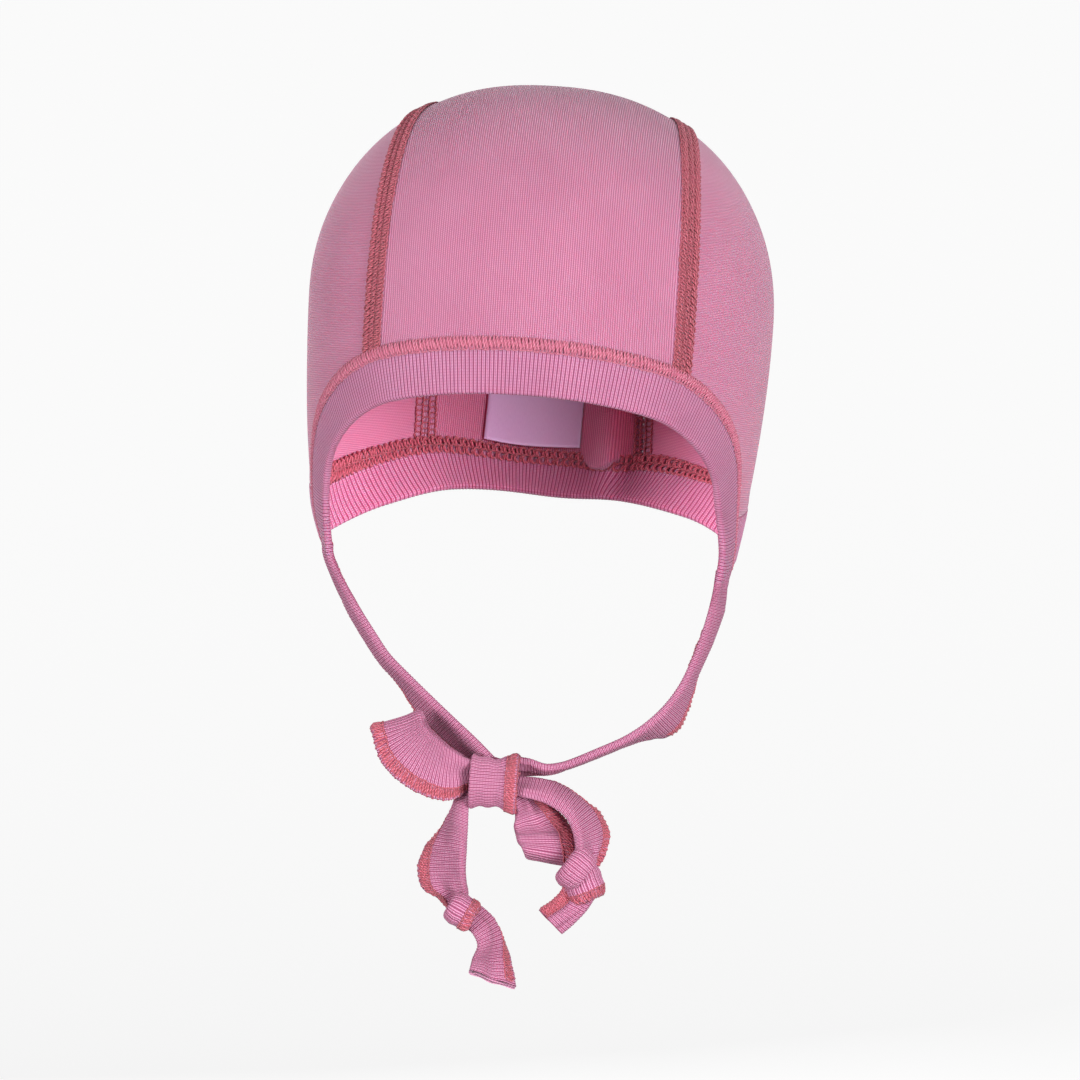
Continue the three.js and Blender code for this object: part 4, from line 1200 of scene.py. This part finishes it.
# %% A strap between its two edges
STRAP_POINTS = 600
RIPPLE = dict(least_width=4, slack=1.02, height=0.62, start=0.6, drift=0.05)
RUFFLE = dict(height=0.14, every=4.7, reach=2.5)


class Strap:
    """A folded strap. place() gives the cloth at a distance along it, in from its stitched edge, and up."""

    def __init__(self, folds, edges, cambers, closed=False, ripples=2.0, flip=1, cut=STRAP_WIDTH):
        self.closed, self.ripples, self.cut = closed, ripples, cut
        self.fold = curve_through(folds, STRAP_POINTS, closed)
        self.edge = curve_through(edges, STRAP_POINTS, closed)
        middle = (self.fold + self.edge) / 2
        self.run = run_of(middle)
        self.length = self.run[-1]
        along = np.gradient(middle, axis=0)
        if closed:
            along[0] = along[-1] = along[0] + along[-1]
        self.face = unit(np.cross(unit(along), self.fold - self.edge)) * flip
        evenly = np.linspace(0, 1, STRAP_POINTS)
        self.camber = np.interp(evenly, np.linspace(0, 1, len(cambers)), cambers)

    def place(self, s, inward, up):
        fold, edge = pick(self.run, self.fold, s), pick(self.run, self.edge, s)
        across = fold - edge
        width = length(across)[..., 0]
        share = inward / self.cut
        inner = np.clip(share, 0, 1)
        spare = np.maximum(self.cut / np.maximum(width, RIPPLE["least_width"]) - RIPPLE["slack"], 0)
        ripple = RIPPLE["height"] * width / (np.pi * self.ripples) * np.sqrt(spare)
        phase = inner * self.ripples * 2 * np.pi + RIPPLE["start"] + s * RIPPLE["drift"]
        rise = up + ripple * np.sin(phase) * np.sin(np.pi * inner) ** 0.5
        ruffle = RUFFLE["height"] * np.sin(s * 2 * np.pi / RUFFLE["every"] + np.sin(s / 3))
        rise = rise + ruffle * np.exp(-np.maximum(inward, 0) / RUFFLE["reach"])
        rise = rise + np.interp(s, self.run, self.camber) * width * 4 * inner * (1 - inner)
        return edge + across * share[..., None] + pick(self.run, self.face, s) * rise[..., None]


trial = Strap([(0, 0, 0), (50, 0, 0)], [(0, 0, -STRAP_WIDTH), (50, 0, -STRAP_WIDTH)], [0, 0])
print("a strap laid straight over 50 mm is", round(float(trial.length), 1), "mm long")

# %% The cloth of a strap and its overlock edge
STRAP_RIB = 0.95
STRAP_WALL = RIB_WALL * 0.9
OVERLOCK = dict(width=3.4, step=1.2, sunk=0.1, above=0.1, bound_share=0.6)


def edge_binding(width, top):
    """Overlock stitches: thread over the edge from face to face, and a chain along each face."""
    flat = top - OVERLOCK["sunk"]
    over = [(0, width, flat), (0.1, width * 0.5, top), (0.2, 0.5, top * 0.9), (0.3, -0.2, 0),
            (0.4, 0.5, -top * 0.9), (0.5, width * 0.5, -top), (0.6, width, -flat)]
    low = top - 2 * OVERLOCK["sunk"]
    beside = [(0.5, width, low), (0.6, width * 0.5, low), (0.7, 0.6, low * 0.8), (0.8, -0.05, 0),
              (0.9, 0.6, -low * 0.8), (1.0, width * 0.5, -low), (1.1, width, -low)]
    chain = [(0, width, flat), (0.35, width + 0.15, top), (0.75, width + 0.1, top), (1.05, width, flat)]
    under = [(s, a, -u) for s, a, u in chain]
    return [Strand(0.5, over), Strand(0.5, beside), Strand(0.3, chain), Strand(0.3, under)]


def strap_sheet(name, strap, nodes, relief=0.22, bulb=1.25, overlock=OVERLOCK["width"], sewn_from=0.2,
                sewn_to=np.inf):
    """The strap's cloth and the overlock thread that binds its stitched edge."""
    s, phase = stations_along(strap.length, STRAP_RIB, STRAP_RIB, per_rib=3)
    if strap.closed:
        phase = s * round(strap.length / STRAP_RIB) / strap.length
    section = folded_section(strap.cut, STRAP_WALL, 14, bulb, overlock * OVERLOCK["bound_share"])
    piece = ribbed(name + "_rib", nodes, "strap_rib", strap.place, s, phase, section, relief)
    sewing = []
    if overlock:
        step = OVERLOCK["step"]
        starts = np.arange(sewn_from, min(sewn_to, strap.length - step), step)
        binding = edge_binding(overlock, STRAP_WALL / 2 + OVERLOCK["above"])
        sewing = [sewn(name + "_overlock", strap.place, starts, step, binding, count=8, finish="edge_thread")]
    return piece


print("overlock:", OVERLOCK["width"], "mm wide, a stitch every", OVERLOCK["step"], "mm")

# %% Ties
TIE_LEFT = [
    (50.2, -41, -149, 51.0, -149.2, STRAP_WIDTH, 0.16),
    (47.6, -46.5, -158, 47.6, -158, STRAP_WIDTH, 0.15),
    (44.4, -50, -166, 44.6, -166.2, STRAP_WIDTH, 0.12),
    (41.0, -52, -172.2, 43.6, -174.6),
    (35.3, -53.5, -178.7, 39.4, -183.6),
    (27.6, -53, -184.8, 28.5, -186.0, 15, 0.04),
    (18.6, -53, -189.0, 18.9, -190.0, STRAP_WIDTH, 0.03),
    (9.5, -54, -192.6, 9.8, -193.5, STRAP_WIDTH, 0.02),
    (4.5, -55, -193.4, 4.3, -194.6, 12, 0.02),
    (-0.5, -55.5, -191.6, -0.8, -195, 12),
    (-5, -56, -191, -5, -195.5, 11),
]
TIE_RIGHT = [
    (-49.8, -43, -148, -52.0, -148.6, STRAP_WIDTH, 0.1),
    (-44.2, -47.5, -156.2, -46.3, -157.2, STRAP_WIDTH, 0.12),
    (-39.9, -50, -162.2, -41.8, -163.6, STRAP_WIDTH, 0.12),
    (-34.3, -51.5, -167.8, -36.6, -170, STRAP_WIDTH, 0.1),
    (-28.2, -52, -173.6, -32.6, -177.4, STRAP_WIDTH, 0.08),
    (-21.6, -51.5, -180, -26.8, -184.4, 14.5),
    (-15.4, -52.5, -185.9, -20.2, -189.4, 13),
    (-10.8, -54, -190.6, -15, -193.5, 11),
    (-7, -56, -194.5, -10, -197, 9),
]
TIE_TUCK = 2.5
TIE_SEWN_FROM = 9


def tie(name, rows, end, flip, sewn_to):
    """A tie starts a little way inside the end of the face band, and goes through its own crossings."""
    tucked = end - TIE_TUCK * np.sign(end - face_seam.length / 2)
    band_end = [[face_place(np.array(s), np.array(across), np.array(RIB_MIDDLE)) for s in (tucked, end)]
                for across in (FACE_BAND["width"], GAP / 2)]
    folds, edges, cambers = edges_of(rows)
    strap = Strap([*band_end[0], *folds], [*band_end[1], *edges], [0, 0.02, *cambers], flip=flip)
    return strap_sheet(name, strap, [name], relief=0.2, bulb=1.1, sewn_from=TIE_SEWN_FROM, sewn_to=sewn_to)


ties = [tie("tie_left", TIE_LEFT, face_seam.length, -1, sewn_to=52),
        tie("tie_right", TIE_RIGHT, 0.0, 1, sewn_to=90)]
print("ties:", len(ties))

# %% Bow loops
LOOP_RIGHT = [
    (-12.5, -57.5, -192, -12.5, -198.6, 8),
    (-17.2, -58.5, -190.5, -17.2, -199.5, 9.5),
    (-21.5, -59.5, -188, -22.6, -202, 13.5),
    (-26, -60, -184, -32.4, -199),
    (-28.2, -60, -181.6, -40.2, -192.2),
    (-29, -60, -179.8, -43.4, -184.2),
]
LOOP_LEFT = [
    (-7, -57, -198.5, -4, -196.5, 5),
    (-4.4, -57, -203, 0.6, -199.8, 7),
    (-3.9, -56, -207, 4.4, -203.8, 9.5),
    (-4.4, -55, -209.5, 7.5, -206, 12.5),
    (-3.9, -54.5, -212, 11, -211),
    (-3.3, -54.5, -214.2, 12, -214.9),
    (-2.2, -54.5, -215.6, 12.8, -218.6),
]
LOOP_DEPTH = 6


def bow_loop(name, rows, flip):
    """A loop runs out along its rows, turns over at the far end and comes back behind itself."""
    folds, edges, cambers = (np.array(line) for line in edges_of(rows))
    out = unit(folds[-1] + edges[-1] - folds[-2] - edges[-2]) * LOOP_DEPTH / 3
    behind = np.array([0, LOOP_DEPTH, 0])
    whole = [np.vstack([line, line[-1] + behind / 2 + out, (line + behind)[::-1]]) for line in (folds, edges)]
    return strap_sheet(name, Strap(*whole, [*cambers, 0.02, *cambers[::-1]], flip=flip), [name])


loops = [bow_loop("bow_loop_right", LOOP_RIGHT, 1), bow_loop("bow_loop_left", LOOP_LEFT, -1)]
print("loops:", len(loops))

# %% Tails and their ends
TAIL_RIGHT = [
    (-16.5, -55, -196, -17, -194.9, 7, -0.16),
    (-17.6, -57, -203.4, -18.2, -203.1, 10, -0.22),
    (-17.6, -58, -210, -23, -209.8, 13, -0.15),
    (-17.6, -58.5, -216, -28.8, -215.6, 15, -0.04),
    (-17.8, -58.5, -221.5, -31, -221.8),
    (-17.6, -58, -225, -29.8, -226.6, 14),
    (-17.4, -57.5, -227.6, -25, -229.8, 10),
    (-18.2, -57.5, -231.5, -22.8, -232.6, 9),
]
TAIL_LEFT = [
    (-6, -58, -199.6, -6, -198, 9, 0.2),
    (-2, -60, -200.6, -1.6, -198.8, 12, 0.22),
    (4.6, -61, -202.3, 6.4, -200.1, STRAP_WIDTH, 0.2),
    (10.3, -62, -205.9, 12.9, -203.3, STRAP_WIDTH, 0.17),
    (12.6, -61.8, -210.4, 18.6, -206.6, STRAP_WIDTH, 0.08),
    (13.2, -61, -214.6, 21.3, -212, 14),
    (12.8, -59.5, -217.6, 20.3, -217.6, 9.5),
    (12, -58.5, -221.5, 17, -222.5, 8),
]
TAIL_END_RIGHT = [
    (-18.6, -57, -236.2, -15, -233.6, 10, -0.28),
    (-15.2, -57.5, -239, -12, -237.2, 11, -0.26),
    (-13.8, -58, -242.4, -8.8, -241.2, 13, -0.1),
    (-15.4, -58.5, -246, -6.4, -246.4, 13, 0.0),
    (-16.6, -58.5, -249.5, -3.9, -254.3, 13.8),
]
TAIL_END_LEFT = [
    (18.2, -57.5, -229.2, 10.4, -225.4, 9),
    (15.8, -58, -232.8, 8.2, -228.8, 9),
    (12.4, -58.5, -236.2, 5.4, -231.4, 10),
    (9, -59, -239, 2.8, -233.4, 10.5),
]
WIDE_OVERLOCK = 6


def tail(name, rows, flip, overlock=OVERLOCK["width"]):
    return strap_sheet(name, Strap(*edges_of(rows), flip=flip), [name], overlock=overlock)


tails = [tail("tail_right", TAIL_RIGHT, -1), tail("tail_left", TAIL_LEFT, -1),
         tail("tail_end_right", TAIL_END_RIGHT, 1), tail("tail_end_left", TAIL_END_LEFT, 1, WIDE_OVERLOCK)]
print("tails and ends:", len(tails))

# %% [markdown]
# ## Knots
# In each knot one turn of the strap goes round the others and shows: a ring of cloth, wider than it is
# deep, gathered a little, with its bound edge on one side. A ring is a strap whose crossings go round.

# %% Knots as rings of strap
Ring = namedtuple("Ring", "x y z lean depth first_height last_height width camber fullness",
                  defaults=[0.1, 1.15])
RING_CROSSINGS = 16


def knot_ring(name, ring, nodes=(), overlock=2.4):
    """A ring of strap round an axis in the plane of the bow, which leans up by so many degrees."""
    lean = np.radians(ring.lean)
    axis = np.array([np.cos(lean), 0, np.sin(lean)])
    up, forward = np.array([-np.sin(lean), 0, np.cos(lean)]), np.array([0, -1.0, 0])
    angle = np.arange(RING_CROSSINGS) * 2 * np.pi / RING_CROSSINGS
    centre = np.array([ring.x, ring.y, ring.z])
    edges = []
    for side, height in ((-1, ring.first_height), (1, ring.last_height)):
        loop = np.outer(np.cos(angle), up) * height + np.outer(np.sin(angle), forward) * ring.depth
        edges.append(centre + axis * ring.width / 2 * side + loop)
    strap = Strap(*edges, [ring.camber, ring.camber], closed=True, ripples=2.5,
                  cut=ring.width * ring.fullness)
    return strap_sheet(name, strap, nodes, relief=0.2, overlock=overlock)


knots = [
    knot_ring("bow_knot", Ring(-9.9, -56, -197.4, -4, 5.6, 6.6, 7.5, 13), ["bow_knot"], overlock=3.3),
    knot_ring("tail_knot_right", Ring(-18.8, -57.5, -232.9, -30, 3.6, 2.6, 3.0, 7.8, -0.1, 1.05),
              ["tail_knot_right"]),
    knot_ring("tail_knot_left", Ring(13.1, -59, -221, -38, 3.4, 4.2, 4.2, 7, -0.14, 1.05),
              ["tail_knot_left"], overlock=0),
    knot_ring("tail_knot_left_lobe", Ring(14.9, -56.5, -224.6, -68, 3.6, 3.0, 3.3, 10.6, -0.12, 1.05)),
]
print("rings:", len(knots))

# %% [markdown]
# ## Sheets and straps
# The panels, the bands and the label are sheets of cloth; the crown panel and the bands were worked out
# with the size that they were cut to before sewing. The ties, loops, tails and knots are straps.

straps = [*ties, *loops, *tails, *knots]
print("sheets:", len([crown, face_binding, nape_binding, label, *side_panels]), "and", len(straps), "straps")

# %% [markdown]
# ## Floor, light and camera
# The hat is held up as by a head, over a plain pale floor. The floor curves up into a round wall and a
# ceiling; a flat plane would be simpler, but its far edge would show from the sides. Large soft lights
# in front leave the hollow of the hat in its own shade, and two small ones in it stand for the warm
# light that pink cloth throws on pink cloth. The camera is level, about as high as the nape's hem, and a
# few degrees to the wearer's left of the middle.

# %% A pale round room
ROOM = dict(floor_z=-0.5, top_z=2.2, wall=2.2, bend=0.6)
PAINT = {"Base Color": (0.25, 0.25, 0.25, 1), "Roughness": 1.0, "Specular IOR Level": 0.0,
         "Emission Color": (1, 1, 1, 1), "Emission Strength": 0.81}


def backdrop(around=48, bend_steps=10):
    """A floor that curves up into a wall, and the wall into a ceiling."""
    turn = np.linspace(0, np.pi / 2, bend_steps)
    reach = np.concatenate([[0.01], ROOM["wall"] - ROOM["bend"] * (1 - np.sin(turn))])
    rise = np.concatenate([[0.0], ROOM["bend"] * (1 - np.cos(turn))])
    reach = np.concatenate([reach, reach[::-1]])
    height = np.concatenate([ROOM["floor_z"] + rise, ROOM["top_z"] - rise[::-1]])
    angle = np.arange(around) * 2 * np.pi / around
    level = np.broadcast_to(height[:, None], (len(height), around))
    grid = np.stack([np.outer(reach, np.cos(angle)), np.outer(reach, np.sin(angle)), level], -1)
    faces = [*grid_faces(len(height), around, around=True), np.arange(around),
             (len(height) - 1) * around + np.arange(around)]
    paint, _ = bare_material("backdrop", PAINT)
    room = mesh_object("backdrop", grid.reshape(-1, 3), faces, paint)
    room.visible_diffuse = room.visible_shadow = False
    return len(faces)


print("room:", backdrop(), "faces")

# %% Light
Lamp = namedtuple("Lamp", "name place aim size watts spread", defaults=[180])
LAMPS = [
    Lamp("key", (1.25, -1.6, 0.05), (0, 0, -0.1), 0.7, 29),
    Lamp("fill", (-1.3, -1.55, 0.0), (0, 0, -0.1), 0.7, 28.5),
    Lamp("hollow", (0.62, -1.1, -0.3), (-0.02, 0.05, -0.09), 0.5, 6),
    Lamp("glow", (0.03, -0.045, -0.08), (-0.047, 0.03, -0.104), 0.03, 0.027, 80),
    Lamp("warmth", (-0.025, -0.04, -0.075), (0.07, 0.02, -0.115), 0.03, 0.018, 62),
    Lamp("behind", (-0.35, 1.5, 0.25), (0, 0, -0.12), 0.9, 16),
]
SKY = {"Color": (1, 1, 1, 1), "Strength": 0.22}


def soft_light(lamp):
    """A square lamp turned to its aim, which the camera doesn't see."""
    light = bpy.data.lights.new(lamp.name, "AREA")
    light.shape, light.size, light.energy = "SQUARE", lamp.size, lamp.watts
    light.spread = np.radians(lamp.spread)
    holder = bpy.data.objects.new(lamp.name, light)
    bpy.context.scene.collection.objects.link(holder)
    holder.location = lamp.place
    x, y, z = np.array(lamp.aim) - np.array(lamp.place)
    holder.rotation_euler = (np.arctan2(np.hypot(x, y), -z), 0, np.arctan2(y, x) - np.pi / 2)
    holder.visible_camera = False


for lamp in LAMPS:
    soft_light(lamp)
world = bpy.data.worlds.new("studio")
bpy.context.scene.world = world
world.use_nodes = True
for socket, value in SKY.items():
    world.node_tree.nodes["Background"].inputs[socket].default_value = value
bpy.context.scene.view_settings.view_transform = "Standard"
print("lights:", [lamp.name for lamp in LAMPS])

# %% Camera
VIEW = dict(distance=1.3, azimuth=3, height=-0.1301, field=0.313)
SENSOR = 36
camera = bpy.data.objects.new("camera", bpy.data.cameras.new("camera"))
bpy.context.scene.collection.objects.link(camera)
turn = np.radians(VIEW["azimuth"])
camera.location = (VIEW["distance"] * np.sin(turn), -VIEW["distance"] * np.cos(turn), VIEW["height"])
camera.rotation_euler = (np.pi / 2, 0, turn)
camera.data.sensor_width = SENSOR
camera.data.lens = SENSOR * VIEW["distance"] / VIEW["field"]
bpy.context.scene.camera = camera
print("camera:", round(camera.data.lens, 1), "mm lens,", VIEW["distance"], "m away")
